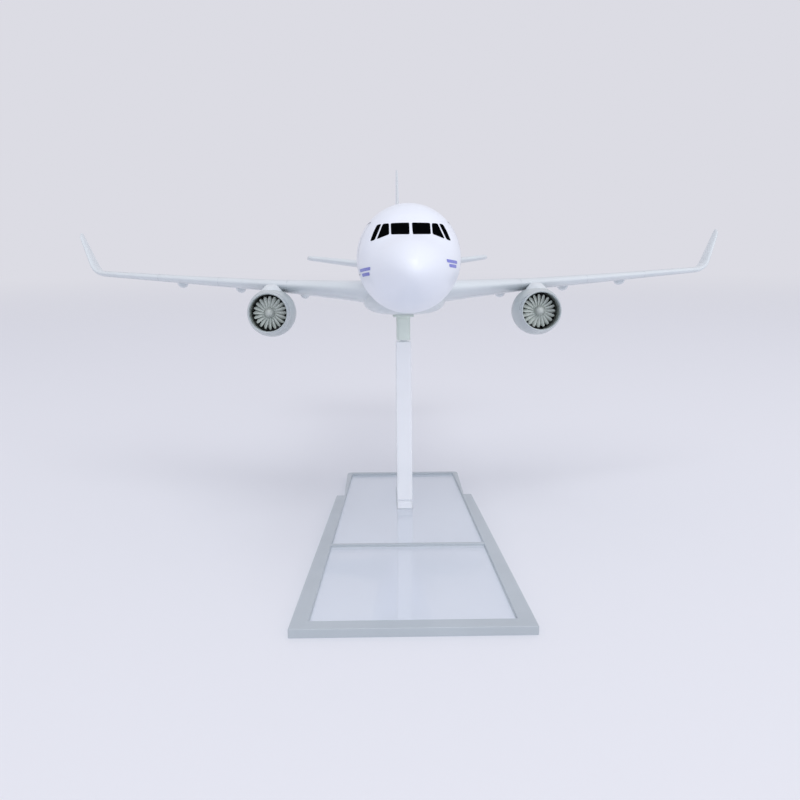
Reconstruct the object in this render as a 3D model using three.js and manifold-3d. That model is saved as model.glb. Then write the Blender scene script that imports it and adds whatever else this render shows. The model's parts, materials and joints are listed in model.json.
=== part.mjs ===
// Desktop airliner model on a clear stand: a short-haul twin-jet, cast and moulded at about 1:235.
// Millimetres, +Z up, the nose towards -Y, port (the aircraft's left) on +X.
// The origin is the centre of the base's flat underside.
import * as THREE from 'three';
import { mergeVertices } from 'three/addons/utils/BufferGeometryUtils.js';
import Module from 'manifold-3d';

const wasm = await Module();
wasm.setup();

// ---------------------------------------------------------------- driving dimensions
const GAP = 0.3;                  // fitting gap between neighbouring pieces
const MODEL_LENGTH = 160;         // nose to tail cone
const FULL_LENGTH = 37.57;        // the full-size aircraft, metres
const SCALE = MODEL_LENGTH / FULL_LENGTH;   // millimetres of model per full-size metre

const POST_STATION = 72;          // from the nose tip to the middle of the stand socket
const SOCKET_POINT = [0, 26.5, 51.5];       // that point on the fuselage axis, over the base
const NOSE_UP = THREE.MathUtils.degToRad(5);

const WALL = 1.3;                 // casting wall of the fuselage

// Full-size metres from here to the engines. Stations run from the nose tip to the tail,
// heights from the fuselage axis.
// station, half width, top, bottom
const FUSELAGE = [
  [0, 0, -0.65, -0.65],
  [0.12, 0.34, -0.32, -0.93],
  [0.5, 0.70, 0.02, -1.20],
  [1.1, 1.05, 0.33, -1.45],
  [2.0, 1.41, 0.66, -1.70],
  [2.6, 1.58, 1.04, -1.82],
  [3.3, 1.74, 1.54, -1.92],
  [4.2, 1.88, 1.87, -2.01],
  [5.6, 1.97, 2.06, -2.07],
  [7.5, 1.975, 2.07, -2.07],
  [24.0, 1.975, 2.07, -2.07],
  [27.0, 1.87, 2.06, -1.76],
  [30.0, 1.53, 2.00, -1.02],
  [33.0, 0.98, 1.86, -0.14],
  [35.4, 0.54, 1.60, 0.53],
  [37.0, 0.25, 1.32, 0.86],
  [37.57, 0.12, 1.20, 0.98],
];
// Stations of the rings that make the outside skin and the cavity.
const SKIN_STATIONS = [0.004, 0.06, 0.25, 0.6, 1.1, 1.6, 2.1, 2.6, 3.0, 3.5, 4.3, 5.6,
  24, 25.8, 27.6, 29.4, 31.2, 33, 34.6, 36, 37, 37.57];
const CAVITY_STATIONS = [2.4, 3.3, 5.6, 24, 27.5, 30.5];
const SKIN_SIDES = 32;
const CAVITY_SIDES = 16;
const THINNEST = 0.05;            // smallest half size of a ring, millimetres

// station, half width, bottom; the top edge stays inside the fuselage
const FAIRING = [
  [10.7, 0.75, -1.96],
  [11.6, 1.50, -2.10],
  [12.8, 1.88, -2.18],
  [14.2, 1.97, -2.21],
  [19.2, 1.97, -2.21],
  [20.8, 1.84, -2.17],
  [22.0, 1.48, -2.09],
  [23.0, 0.75, -1.96],
];
const FAIRING_TOP = -0.55;
const FAIRING_POWER = 3;
const FAIRING_SIDES = 28;

// half span, leading edge station, chord, height, thickness, incidence in degrees
const WING = [
  [1.50, 11.50, 6.75, -1.19, 0.98, 3.0],
  [3.00, 12.33, 5.75, -1.06, 0.80, 2.6],
  [6.40, 14.10, 3.95, -0.77, 0.52, 1.8],
  [11.00, 16.50, 2.85, -0.38, 0.38, 0.8],
  [16.00, 19.10, 1.68, 0.05, 0.27, 0],
];
const DIHEDRAL = Math.atan(0.0855);
// The upturned tip in the front view: half span and height.
const SHARKLET_BEND = [16.55, 0.10];
const SHARKLET_START = [16.86, 0.61];
const SHARKLET_TIP = [17.94, 2.38];
const SHARKLET_END = { lead: 21.45, chord: 0.68, thick: 0.14 };
const SHARKLET_SHARES = [0.12, 0.24, 0.34, 0.46, 0.96, 1];
const TIP_SHRINK = 0.8;           // of the last ring, which rounds the tip

const TAILPLANE = [
  [0.30, 31.45, 4.30, 0.82, 0.56],
  [6.33, 35.15, 1.55, 1.68, 0.32],
  [6.50, 35.55, 0.95, 1.71, 0.22],
];
const TAIL_DIHEDRAL = Math.atan(0.143);
// height, leading edge station, chord, thickness
const FIN = [
  [1.55, 29.00, 7.00, 0.36],
  [2.40, 30.75, 5.42, 0.32],
  [7.60, 35.05, 2.05, 0.15],
  [7.90, 35.60, 1.40, 0.12],
];

// half span and length of the flap-track fairings, full-size metres
const TRACKS = [[5.03, 2.7], [8.43, 2.2], [11.68, 1.9]];
const TRACK_HALF = { width: 0.21, height: 0.24 };
// A fairing's nose-down tilt, how far its middle lies ahead of the trailing edge (share of its
// length), and how far it hangs (share of the wing's thickness, and millimetres).
const TRACK_PLACE = { tilt: 0.05, ahead: 0.28, hang: 0.30, drop: 0.35 };

// Engines, model millimetres; depth runs back from the intake lip.
const ENGINE_X = 26.7;
const ENGINE_Z = -8.8;
const ENGINE_STATION = 51.1;
const BLADES = 20;
const HUB_RADIUS = 1.1;
const HUB_FLARE = 0.1;            // how much wider the hub is at its back
const FAN_RADIUS = 3.26;
const FAN_FRONT = 2.6;
const FAN_BACK = 4.4;
// A fan blade at its root and tip: lean in degrees, half thickness, and width as a share of the
// fan's depth less the margin.
const FAN_BLADE = { lean: [28, 54], half: [0.17, 0.13], width: [0.95, 0.6], margin: 0.2, rings: 3 };
const BLADE_ROOT_DEEP = 0.15;     // how far a blade's root reaches into the hub
const SPINNER = { front: 1.05, skirt: 0.15, recess: 0.65, recessDeep: 0.3, steps: 4 };
const PIN_RADIUS = 0.35;
const PIN_FRONT = 2.4;
const PIN_BACK = 9.5;
const PIN_PLAY = 0.08;            // radial play of the hub on its pin
const CASE_RADIUS = 3.78;         // inside the cowl, around the fan
// Turned profiles: radius, depth.
const LIP = [[CASE_RADIUS, 1.6], [3.60, 1.0], [3.60, 0.45], [3.68, 0.1], [3.80, 0], [3.91, 0.09],
  [4.00, 0.4], [4.10, 1.0], [4.18, 1.6]];
const COWL_OUTSIDE = [[4.23, 1.9], [4.60, 3.7], [4.82, 6], [4.74, 8.2], [4.40, 10.8], [4.0, 13.5],
  [3.6, 15.8]];
const COWL_INSIDE = [[3.35, 15.8], [3.60, 13], [CASE_RADIUS, 9], [CASE_RADIUS, 1.9]];
const CORE_OUTSIDE = [[2.1, 4.9], [2.4, 8], [2.4, 12], [2.05, 16], [1.75, 18.3]];
const CORE_INSIDE = [[1.5, 18.3], [1.75, 15], [1.75, 11], [0.65, 11], [0.65, 4.9]];
const PLUG = [[0, 11.4], [1.4, 11.4], [1.4, 13.5], [1.15, 16.5], [0.7, 19.2], [0.12, 21.2], [0, 21.2]];
const VANES = 6;
const VANE = { thick: 0.4, front: 5.4, back: 7.8, foot: 1.9 };
// The pylon widens to a saddle on the cowl and plugs into the wing's underside:
// depth, half width at the foot, at the top, foot height, top height.
const PYLON = [
  [2.9, 0.80, 0.25, -4.9, -4.25],
  [4.2, 1.90, 0.70, -4.7, -3.60],
  [6.0, 2.30, 0.95, -4.6, -3.20],
  [7.6, 2.10, 0.90, -4.6, -3.10],
  [9.5, 1.20, 0.75, -5.0, -3.35],
  [11.5, 0.65, 0.60, -6.2, -3.50],
  [16.6, 0.65, 0.60, -6.6, -3.50],
  [21.0, 0.65, 0.50, -5.3, -3.60],
  [22.5, 0.40, 0.30, -4.9, -4.00],
];

// Stand, model millimetres.
const BASE_FRONT = -42.5;
const BASE_BACK = 42.5;
const BASE_STEP = 24;             // where the side flanges end
const FRONT_HALF = 19.0;          // half widths of the base's outline
const STEP_HALF = 15.2;
const REAR_HALF = 13.5;
const CORNER = 1.2;
const BAY = { front: -39.7, frontHalf: 16.1, back: 41.4, backHalf: 12.3 };   // recess inside the rim
const RIM_HEIGHT = 1.5;
const PANEL_HEIGHT = 1.0;
const RIB_Y = -6.9;
const RIB_WIDTH = 0.8;
const BOSS = { x: 1.65, front: 15.3, back: 31.5, top: 2.5, sunk: 0.2 };
const BLADE_THICK = 3.3;
const BLADE_FOOT = [15.5, 31.3];            // front and back edges where they meet the boss
const BLADE_BENDS = [[18.4, 18], [30.2, 17]];   // pull points of the two hollow edges
const SHOULDER_HALF = 5.4;
const TANG_THICK = 1.2;
const TANG_ROOT = 0.5;            // how far a tang's root reaches into the blade
const FOOT_TANG = { front: 17.2, back: 29.4, bottom: 0.8, thick: 1.4 };
const TOP_TANG = { half: 4.1, bottom: -15.2, top: -8.6 };
const SOCKET = { half: 5.6, bottom: -14.9, flange: -10.0, top: -5.6, x: 1.45, flangeX: 2.2, flangeHalf: 6.4 };

// How the castings hold together, aircraft millimetres.
const SCREW_STATIONS = [13.1, 20.3];        // full-size metres
const SCREW = { shank: 0.8, head: 1.5, bottom: -9.2, under: -8.3, tip: 1.5, boss: 2.1, slot: 0.25,
  slotDeep: 0.4 };
const BOSS_SPAN = [-1.4, 8.2];              // the screw bosses, from their foot to the roof they hang from
const WING_TONGUE = { low: 3.4, high: 9.5, y: [-13.2, 4.8], z: [-6.2, -4.6] };
const TAILPLANE_PEG = { low: 1.0, high: 5.4, y: [68, 73], z: [3.3, 4.2] };
const FIN_PEG = { half: 0.4, y: [61, 68], bottom: 6.4, top: 9.4 };
const BELOW = -12;                // any height under the belly
const HOLE_FOOT = -3;             // the fuselage's screw holes start here, in the recess for the fairing
const LAP = 0.1;                  // how far two parts of one casting run into each other
const RUN_OUT = 1;                  // how far a recess runs past the material it opens

// ---------------------------------------------------------------- solids
const station = (metres) => metres * SCALE - POST_STATION;

function solid(geometry) {
  const bare = geometry.clone();
  bare.deleteAttribute('normal');
  bare.deleteAttribute('uv');
  const merged = mergeVertices(bare, 1e-5);
  const mesh = new wasm.Mesh({
    numProp: 3,
    vertProperties: new Float32Array(merged.attributes.position.array),
    triVerts: new Uint32Array(merged.index.array),
  });
  return new wasm.Manifold(mesh);
}

function geometryOf(shape) {
  const mesh = shape.getMesh();
  const geometry = new THREE.BufferGeometry();
  geometry.setAttribute('position', new THREE.BufferAttribute(mesh.vertProperties, 3));
  geometry.setIndex(new THREE.BufferAttribute(mesh.triVerts, 1));
  return geometry;
}

function signedVolume(points, faces) {
  let volume = 0;
  for (const [a, b, c] of faces) {
    volume += points[a].dot(new THREE.Vector3().crossVectors(points[b], points[c]));
  }
  return volume / 6;
}

// A closed skin over rings of equal length, with a fan over each end.
function loft(rings) {
  const count = rings[0].length;
  const points = rings.flat();
  const faces = [];
  for (let r = 0; r + 1 < rings.length; r += 1) {
    for (let i = 0; i < count; i += 1) {
      const j = (i + 1) % count;
      const [a, b, c, d] = [r * count + i, r * count + j, (r + 1) * count + i, (r + 1) * count + j];
      faces.push([a, b, d], [a, d, c]);
    }
  }
  const lastRing = (rings.length - 1) * count;
  for (const [ring, first, flip] of [[rings[0], 0, true], [rings.at(-1), lastRing, false]]) {
    const centre = ring.reduce((sum, p) => sum.add(p), new THREE.Vector3()).divideScalar(count);
    points.push(centre);
    for (let i = 0; i < count; i += 1) {
      const pair = [first + i, first + (i + 1) % count];
      faces.push(flip ? [pair[1], pair[0], points.length - 1] : [pair[0], pair[1], points.length - 1]);
    }
  }
  if (signedVolume(points, faces) < 0) faces.forEach((face) => face.reverse());
  const geometry = new THREE.BufferGeometry().setFromPoints(points);
  geometry.setIndex(faces.flat());
  return solid(geometry);
}

function box(low, high) {
  const size = high.map((value, axis) => value - low[axis]);
  const middle = high.map((value, axis) => (value + low[axis]) / 2);
  return solid(new THREE.BoxGeometry(...size).translate(...middle));
}

function upright(radius, x, y, low, high, sides = 12) {
  const geometry = new THREE.CylinderGeometry(radius, radius, high - low, sides);
  return solid(geometry.rotateX(Math.PI / 2).translate(x, y, (low + high) / 2));
}

// A turned piece about the engine's axis: pairs of radius and depth.
function turned(profile, sides = 26) {
  const points = profile.map(([radius, depth]) => new THREE.Vector2(radius, depth));
  const geometry = new THREE.LatheGeometry(points, sides);
  const shape = solid(geometry);
  if (shape.volume() > 0) return shape;
  return solid(new THREE.LatheGeometry(points.reverse(), sides));
}

function prism(outline, low, high, holes = []) {
  const shape = new THREE.Shape(outline.map(([x, y]) => new THREE.Vector2(x, y)));
  shape.holes = holes.map((hole) => new THREE.Path(hole.map(([x, y]) => new THREE.Vector2(x, y))));
  const geometry = new THREE.ExtrudeGeometry(shape, { depth: high - low, bevelEnabled: false });
  return solid(geometry.translate(0, 0, low));
}

// A plate standing in the YZ plane: its outline holds pairs of y and z.
function plate(outline, thickness) {
  const shape = new THREE.Shape(outline.map(([y, z]) => new THREE.Vector2(y, z)));
  const geometry = new THREE.ExtrudeGeometry(shape, { depth: thickness, bevelEnabled: false });
  geometry.translate(0, 0, -thickness / 2);
  const turn = new THREE.Matrix4().set(0, 0, 1, 0, 1, 0, 0, 0, 0, 1, 0, 0, 0, 0, 0, 1);
  return solid(geometry.applyMatrix4(turn));
}

function mirrored(shape) {
  return shape.mirror([1, 0, 0]);
}

// ---------------------------------------------------------------- outlines
// Smooth value of one column of a table at a station, in steps of the root of the
// station so that the nose stays round.
function along(table, column, at) {
  const root = Math.sqrt(at);
  const knots = table.map((row) => Math.sqrt(row[0]));
  const values = table.map((row) => row[column]);
  let k = 0;
  while (k + 2 < knots.length && root > knots[k + 1]) k += 1;
  const slope = (i) => {
    if (i === 0) return (values[1] - values[0]) / (knots[1] - knots[0]);
    if (i === knots.length - 1) return (values[i] - values[i - 1]) / (knots[i] - knots[i - 1]);
    const before = (values[i] - values[i - 1]) / (knots[i] - knots[i - 1]);
    const after = (values[i + 1] - values[i]) / (knots[i + 1] - knots[i]);
    return before * after <= 0 ? 0 : (2 * before * after) / (before + after);
  };
  const span = knots[k + 1] - knots[k];
  const t = Math.min(Math.max((root - knots[k]) / span, 0), 1);
  const [t2, t3] = [t * t, t * t * t];
  return (2 * t3 - 3 * t2 + 1) * values[k] + (t3 - 2 * t2 + t) * span * slope(k)
    + (3 * t2 - 2 * t3) * values[k + 1] + (t3 - t2) * span * slope(k + 1);
}

function superellipse(z, halfWidth, halfHeight, power, y, sides) {
  return Array.from({ length: sides }, (_, i) => {
    const angle = (2 * Math.PI * i) / sides;
    const round = (value) => Math.sign(value) * Math.abs(value) ** (2 / power);
    return new THREE.Vector3(halfWidth * round(Math.cos(angle)), y, z + halfHeight * round(Math.sin(angle)));
  });
}

// The fuselage's outside, grown by some millimetres; negative gives the cavity.
function fuselageSkin(grow, stations, sides) {
  return loft(stations.map((at) => {
    const [half, top, bottom] = [1, 2, 3].map((column) => along(FUSELAGE, column, at) * SCALE);
    const wide = Math.max(half + grow, THINNEST);
    const tall = Math.max((top - bottom) / 2 + grow, THINNEST);
    return superellipse((top + bottom) / 2, wide, tall, 2, station(at), sides);
  }));
}

function fairingSkin(grow) {
  return loft(FAIRING.map(([at, half, bottom]) => {
    const top = FAIRING_TOP * SCALE + grow;
    const low = bottom * SCALE - grow;
    const end = at === FAIRING[0][0] ? -grow : (at === FAIRING.at(-1)[0] ? grow : 0);
    return superellipse((top + low) / 2, half * SCALE + grow, (top - low) / 2, FAIRING_POWER,
      station(at) + end, FAIRING_SIDES);
  }));
}

// One aerofoil ring of 2 * steps points: chordwise along y, thickness along a tilted normal.
// The thickness follows the usual four-digit curve over a wedge with a blunt trailing edge.
function aerofoil({ x, z, lead, chord, thick, tilt = 0, incidence = 0 }, steps = 7) {
  const ring = [];
  const trailing = 0.16 * thick + 0.12;
  for (let i = 0; i < 2 * steps; i += 1) {
    const upper = i < steps;
    const c = (1 - Math.cos((Math.PI * (upper ? i + 0.5 : 2 * steps - i - 0.5)) / steps)) / 2;
    const bulge = 5 * (0.2969 * Math.sqrt(c) - 0.126 * c - 0.3516 * c ** 2 + 0.2843 * c ** 3 - 0.1036 * c ** 4);
    const half = thick * bulge + trailing * c / 2;
    const lift = (upper ? half : -half) - (c - 0.5) * chord * Math.tan(incidence);
    ring.push(new THREE.Vector3(x - lift * Math.sin(tilt), lead + c * chord, z + lift * Math.cos(tilt)));
  }
  return ring;
}

function wingSections() {
  const sections = WING.map(([x, lead, chord, z, thick, degrees]) => ({
    x: x * SCALE, z: z * SCALE, lead: station(lead), chord: chord * SCALE, thick: thick * SCALE,
    incidence: THREE.MathUtils.degToRad(degrees), tilt: DIHEDRAL,
  }));
  const [end, , , height] = WING.at(-1);
  const path = new THREE.CurvePath();
  path.add(new THREE.QuadraticBezierCurve(
    new THREE.Vector2(end, height),
    new THREE.Vector2(...SHARKLET_BEND),
    new THREE.Vector2(...SHARKLET_START),
  ));
  path.add(new THREE.LineCurve(new THREE.Vector2(...SHARKLET_START), new THREE.Vector2(...SHARKLET_TIP)));
  for (const share of SHARKLET_SHARES) {
    const place = path.getPoint(share);
    const heading = path.getTangent(share);
    const [, lead, chord, , thick] = WING.at(-1);
    const blend = (first, last) => first + (last - first) * share;
    const shrink = share === 1 ? TIP_SHRINK : 1;
    sections.push({
      x: place.x * SCALE,
      z: place.y * SCALE,
      lead: station(blend(lead, SHARKLET_END.lead) + (1 - shrink) * SHARKLET_END.chord),
      chord: blend(chord, SHARKLET_END.chord) * SCALE * shrink,
      thick: blend(thick, SHARKLET_END.thick) * SCALE * shrink,
      tilt: heading.angle(),
    });
  }
  return sections;
}

// ---------------------------------------------------------------- aircraft pieces, port side
function screwHoles(radius, low, high) {
  return SCREW_STATIONS.map((at) => upright(radius, 0, station(at), low, high));
}

function wing() {
  let shape = loft(wingSections().map((section) => aerofoil(section)));
  shape = shape.subtract(fairingSkin(GAP)).subtract(fuselageSkin(GAP, SKIN_STATIONS, SKIN_SIDES));
  for (const [x, length] of TRACKS) {
    const spot = wingAt(x);
    const canoe = new THREE.SphereGeometry(1, 8, 8).rotateX(Math.PI / 2);
    canoe.scale(TRACK_HALF.width * SCALE, (length * SCALE) / 2, TRACK_HALF.height * SCALE);
    canoe.rotateX(-TRACK_PLACE.tilt);
    canoe.translate(x * SCALE, spot.trail - TRACK_PLACE.ahead * length * SCALE,
      spot.z - TRACK_PLACE.hang * spot.thick - TRACK_PLACE.drop);
    shape = shape.add(solid(canoe));
  }
  return shape.subtract(pylonBlank(GAP)).add(wingTongue(0));
}

function wingAt(x) {
  const outer = WING.findIndex((row) => row[0] >= x);
  const [a, b] = [WING[outer - 1], WING[outer]];
  const t = (x - a[0]) / (b[0] - a[0]);
  const [, lead, chord, z, thick] = a.map((value, i) => value + (b[i] - value) * t);
  return { lead: station(lead), trail: station(lead + chord), z: z * SCALE, thick: thick * SCALE };
}

// The tongue by which the wing's root plugs into the belly fairing.
function wingTongue(grow) {
  const { low, high, y, z } = WING_TONGUE;
  return box([low - grow, y[0] - grow, z[0] - grow], [high, y[1] + grow, z[1] + grow]);
}

function tailplane() {
  const sections = TAILPLANE.map(([x, lead, chord, z, thick]) => ({
    x: x * SCALE, z: z * SCALE, lead: station(lead), chord: chord * SCALE, thick: thick * SCALE,
    tilt: TAIL_DIHEDRAL,
  }));
  return loft(sections.map((section) => aerofoil(section)));
}

function tailplanePeg(grow) {
  const { low, high, y, z } = TAILPLANE_PEG;
  return box([low - grow, y[0] - grow, z[0] - grow], [high, y[1] + grow, z[1] + grow]);
}

function fin() {
  const rings = FIN.map(([z, lead, chord, thick]) => aerofoil({
    x: 0, z: 0, lead: station(lead), chord: chord * SCALE, thick: thick * SCALE,
  }).map((p) => new THREE.Vector3(p.z, p.y, z * SCALE)));
  return loft(rings);
}

function finPeg(grow) {
  const { half, y, bottom, top } = FIN_PEG;
  return box([-half - grow, y[0] - grow, bottom - grow], [half + grow, y[1] + grow, top]);
}

function fuselage() {
  const bosses = SCREW_STATIONS.map((at) => upright(SCREW.boss, 0, station(at), ...BOSS_SPAN));
  let cavity = fuselageSkin(-WALL, CAVITY_STATIONS, CAVITY_SIDES);
  for (const boss of bosses) cavity = cavity.subtract(boss);
  let shape = fuselageSkin(0, SKIN_STATIONS, SKIN_SIDES).subtract(cavity);
  shape = shape.subtract(fairingSkin(GAP));
  for (const hole of screwHoles(SCREW.shank + GAP, HOLE_FOOT, SCREW.tip + GAP)) shape = shape.subtract(hole);
  for (const peg of [tailplanePeg(GAP), mirrored(tailplanePeg(GAP))]) shape = shape.subtract(peg);
  return shape.subtract(finPeg(GAP));
}

function bellyFairing() {
  const { flangeX, flangeHalf, top } = SOCKET;
  const [wide, long] = [flangeX + GAP, flangeHalf + GAP];
  const pocket = box([-wide, -long, BELOW], [wide, long, top + GAP]);
  let shape = fairingSkin(0).subtract(pocket);
  for (const slot of [wingTongue(GAP), mirrored(wingTongue(GAP))]) shape = shape.subtract(slot);
  for (const hole of screwHoles(SCREW.shank + GAP, BELOW, 0)) shape = shape.subtract(hole);
  for (const sink of screwHoles(SCREW.head + GAP, BELOW, SCREW.under + GAP)) shape = shape.subtract(sink);
  return shape;
}

function bellyScrew(at) {
  const slot = box([-SCREW.slot, station(at) - SCREW.boss, BELOW],
    [SCREW.slot, station(at) + SCREW.boss, SCREW.bottom + SCREW.slotDeep]);
  const head = upright(SCREW.head, 0, station(at), SCREW.bottom, SCREW.under);
  return head.subtract(slot).add(upright(SCREW.shank, 0, station(at), SCREW.under - LAP, SCREW.tip));
}

function standSocket() {
  const { half, bottom, flange, top, x, flangeX, flangeHalf } = SOCKET;
  const lug = box([-x, -half, bottom], [x, half, flange + LAP]);
  const seat = box([-flangeX, -flangeHalf, flange], [flangeX, flangeHalf, top]);
  const slotHalf = TANG_THICK / 2 + GAP;
  const slot = box([-slotHalf, -TOP_TANG.half - GAP, bottom - RUN_OUT],
    [slotHalf, TOP_TANG.half + GAP, TOP_TANG.top + GAP]);
  return lug.add(seat).subtract(slot);
}

// ---------------------------------------------------------------- engine pieces
function intakeLip() {
  return turned([...LIP, LIP[0]]);
}

function nacelleCowl() {
  return turned([...COWL_INSIDE, ...COWL_OUTSIDE, COWL_INSIDE[0]]);
}

function engineCore() {
  let shape = turned([...CORE_OUTSIDE, ...CORE_INSIDE, CORE_OUTSIDE[0]], 18);
  for (let i = 0; i < VANES; i += 1) {
    const vane = box([-VANE.thick / 2, VANE.front, VANE.foot], [VANE.thick / 2, VANE.back, CASE_RADIUS - GAP]);
    shape = shape.add(vane.rotate([0, (360 * i) / VANES, 0]));
  }
  return shape;
}

function exhaustPlug() {
  return turned(PLUG, 14);
}

function fanPin() {
  return turned([[0, PIN_FRONT], [PIN_RADIUS, PIN_FRONT], [PIN_RADIUS, PIN_BACK], [0, PIN_BACK]], 12);
}

// A thin twisted blade from the hub to the tip.
function fanBlade() {
  const { lean: leans, half: halves, width, margin, rings: count } = FAN_BLADE;
  const rings = Array.from({ length: count }, (_, i) => {
    const share = i / (count - 1);
    const blend = ([root, tip]) => root + (tip - root) * share;
    const radius = blend([HUB_RADIUS - BLADE_ROOT_DEEP, FAN_RADIUS]);
    const lean = THREE.MathUtils.degToRad(blend(leans));
    const half = (FAN_BACK - FAN_FRONT - margin) / 2 / Math.cos(lean) * blend(width);
    const thick = blend(halves);
    const corners = [[-half, -thick], [half, -thick], [half, thick], [-half, thick]];
    return corners.map(([run, side]) => new THREE.Vector3(
      run * Math.sin(lean) + side * Math.cos(lean),
      (FAN_FRONT + FAN_BACK) / 2 + run * Math.cos(lean) - side * Math.sin(lean),
      radius,
    ));
  });
  return loft(rings);
}

function fanRotor() {
  const bore = PIN_RADIUS + PIN_PLAY;
  let shape = turned([[bore, FAN_FRONT], [HUB_RADIUS, FAN_FRONT], [HUB_RADIUS + HUB_FLARE, FAN_BACK],
    [bore, FAN_BACK], [bore, FAN_FRONT]], BLADES);
  for (let i = 0; i < BLADES; i += 1) shape = shape.add(fanBlade().rotate([0, (360 * i) / BLADES, 0]));
  return shape;
}

function spinner() {
  const { front, skirt, recess, recessDeep, steps } = SPINNER;
  const back = FAN_FRONT - GAP;
  const profile = [[0, front]];
  for (let i = 1; i <= steps; i += 1) {
    const angle = (Math.PI / 2) * (i / steps);
    profile.push([HUB_RADIUS * Math.sin(angle), back - skirt - (back - skirt - front) * Math.cos(angle)]);
  }
  return turned([...profile, [HUB_RADIUS, back], [recess, back], [recess, back - recessDeep],
    [0, back - recessDeep]], 16);
}

function toEngine(shape) {
  return shape.translate([ENGINE_X, ENGINE_STATION - POST_STATION, ENGINE_Z]);
}

function pylonBlank(grow) {
  return loft(PYLON.map(([depth, foot, crown, low, high], i) => {
    const end = i === 0 ? -grow : (i === PYLON.length - 1 ? grow : 0);
    return [[-foot - grow, low], [foot + grow, low], [crown + grow, high + grow], [-crown - grow, high + grow]]
      .map(([x, z]) => new THREE.Vector3(ENGINE_X + x, ENGINE_STATION - POST_STATION + depth + end, z));
  }));
}

// The pylon clears the cowl and, behind it, the engine core.
function pylon() {
  const grown = COWL_OUTSIDE.map(([radius, depth]) => [radius + GAP, depth]);
  const [cowlEnd, coreEnd] = [COWL_OUTSIDE.at(-1)[1] + 1, CORE_OUTSIDE.at(-1)[1] + 1];
  const coreRadius = CORE_OUTSIDE.at(-2)[0];
  const engine = toEngine(turned([[0, grown[0][1]], ...grown, [coreRadius + GAP, cowlEnd], [coreRadius, coreEnd],
    [0, coreEnd]]));
  return pylonBlank(0).subtract(engine);
}

// ---------------------------------------------------------------- stand pieces
function displayBase() {
  const right = [[FRONT_HALF, BASE_FRONT], [STEP_HALF, BASE_STEP], [REAR_HALF, BASE_STEP],
    [REAR_HALF, BASE_BACK - CORNER], [REAR_HALF - CORNER, BASE_BACK]];
  const left = right.map(([x, y]) => [-x, y]).reverse();
  const slab = prism([...right, ...left], 0, RIM_HEIGHT);
  const bay = (front, back) => {
    const half = (y) => BAY.frontHalf + (BAY.backHalf - BAY.frontHalf) * ((y - BAY.front) / (BAY.back - BAY.front));
    return prism([[-half(front), front], [half(front), front], [half(back), back], [-half(back), back]],
      PANEL_HEIGHT, RIM_HEIGHT + RUN_OUT);
  };
  const tray = slab.subtract(bay(BAY.front, RIB_Y - RIB_WIDTH / 2))
    .subtract(bay(RIB_Y + RIB_WIDTH / 2, BAY.back));
  const boss = box([-BOSS.x, BOSS.front, PANEL_HEIGHT - BOSS.sunk], [BOSS.x, BOSS.back, BOSS.top]);
  const half = FOOT_TANG.thick / 2 + GAP;
  const slot = box([-half, FOOT_TANG.front - GAP, FOOT_TANG.bottom - GAP],
    [half, FOOT_TANG.back + GAP, BOSS.top + RUN_OUT]);
  return tray.add(boss).subtract(slot);
}

// From the aircraft's own frame to the stand's, in the YZ plane.
function lean(y, z) {
  return [SOCKET_POINT[1] + y * Math.cos(NOSE_UP) + z * Math.sin(NOSE_UP),
    SOCKET_POINT[2] - y * Math.sin(NOSE_UP) + z * Math.cos(NOSE_UP)];
}

function standBlade() {
  const shoulderFront = lean(-SHOULDER_HALF, TOP_TANG.bottom);
  const shoulderBack = lean(SHOULDER_HALF, TOP_TANG.bottom);
  const foot = BOSS.top + GAP;
  const curve = (from, bend, to) => new THREE.QuadraticBezierCurve(
    new THREE.Vector2(...from), new THREE.Vector2(...bend), new THREE.Vector2(...to),
  ).getPoints(10).map((p) => [p.x, p.y]);
  const front = curve([BLADE_FOOT[0], foot], BLADE_BENDS[0], shoulderFront);
  const back = curve(shoulderBack, BLADE_BENDS[1], [BLADE_FOOT[1], foot]);
  const body = plate([...front, ...back], BLADE_THICK);
  const tangTop = plate([lean(-TOP_TANG.half, TOP_TANG.bottom - TANG_ROOT),
    lean(TOP_TANG.half, TOP_TANG.bottom - TANG_ROOT),
    lean(TOP_TANG.half, TOP_TANG.top), lean(-TOP_TANG.half, TOP_TANG.top)], TANG_THICK);
  const { front: near, back: far, bottom, thick } = FOOT_TANG;
  const tangFoot = plate([[near, bottom], [far, bottom], [far, foot + TANG_ROOT], [near, foot + TANG_ROOT]], thick);
  return body.add(tangTop).add(tangFoot);
}

// ---------------------------------------------------------------- materials
const paint = (name, color, roughness, metalness = 0) => (
  new THREE.MeshStandardMaterial({ name, color, roughness, metalness }));
const WHITE = paint('gloss_white_paint', 0xf1f3f7, 0.22);
const WING_GREY = paint('light_grey_paint', 0xc3cad2, 0.35);
const NACELLE_GREY = paint('nacelle_grey', 0xa9b1b9, 0.35);
const LIP_GREY = paint('intake_lip_grey', 0xb9bfc6, 0.28, 0.3);
const FAN_GREY = paint('fan_grey', 0xaeb6be, 0.4);
const DARK_GREY = paint('dark_grey', 0x6e747a, 0.45);
const STEEL = paint('steel', 0xb5b8bb, 0.3, 0.9);
const SOCKET_GREY = paint('socket_grey', 0xbcc6c9, 0.4);
const CLEAR = new THREE.MeshStandardMaterial({
  name: 'clear_acrylic', color: 0xe9eef5, roughness: 0.08, transparent: true, opacity: 0.35,
});

function piece(name, shape, material) {
  const mesh = new THREE.Mesh(geometryOf(shape), material);
  mesh.name = name;
  return mesh;
}

// ---------------------------------------------------------------- assembly
const group = new THREE.Group();
group.add(piece('display_base', displayBase(), CLEAR));
group.add(piece('stand_blade', standBlade(), CLEAR));

const aircraft = new THREE.Group();
aircraft.position.set(...SOCKET_POINT);
aircraft.rotation.x = -NOSE_UP;
group.add(aircraft);

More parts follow.
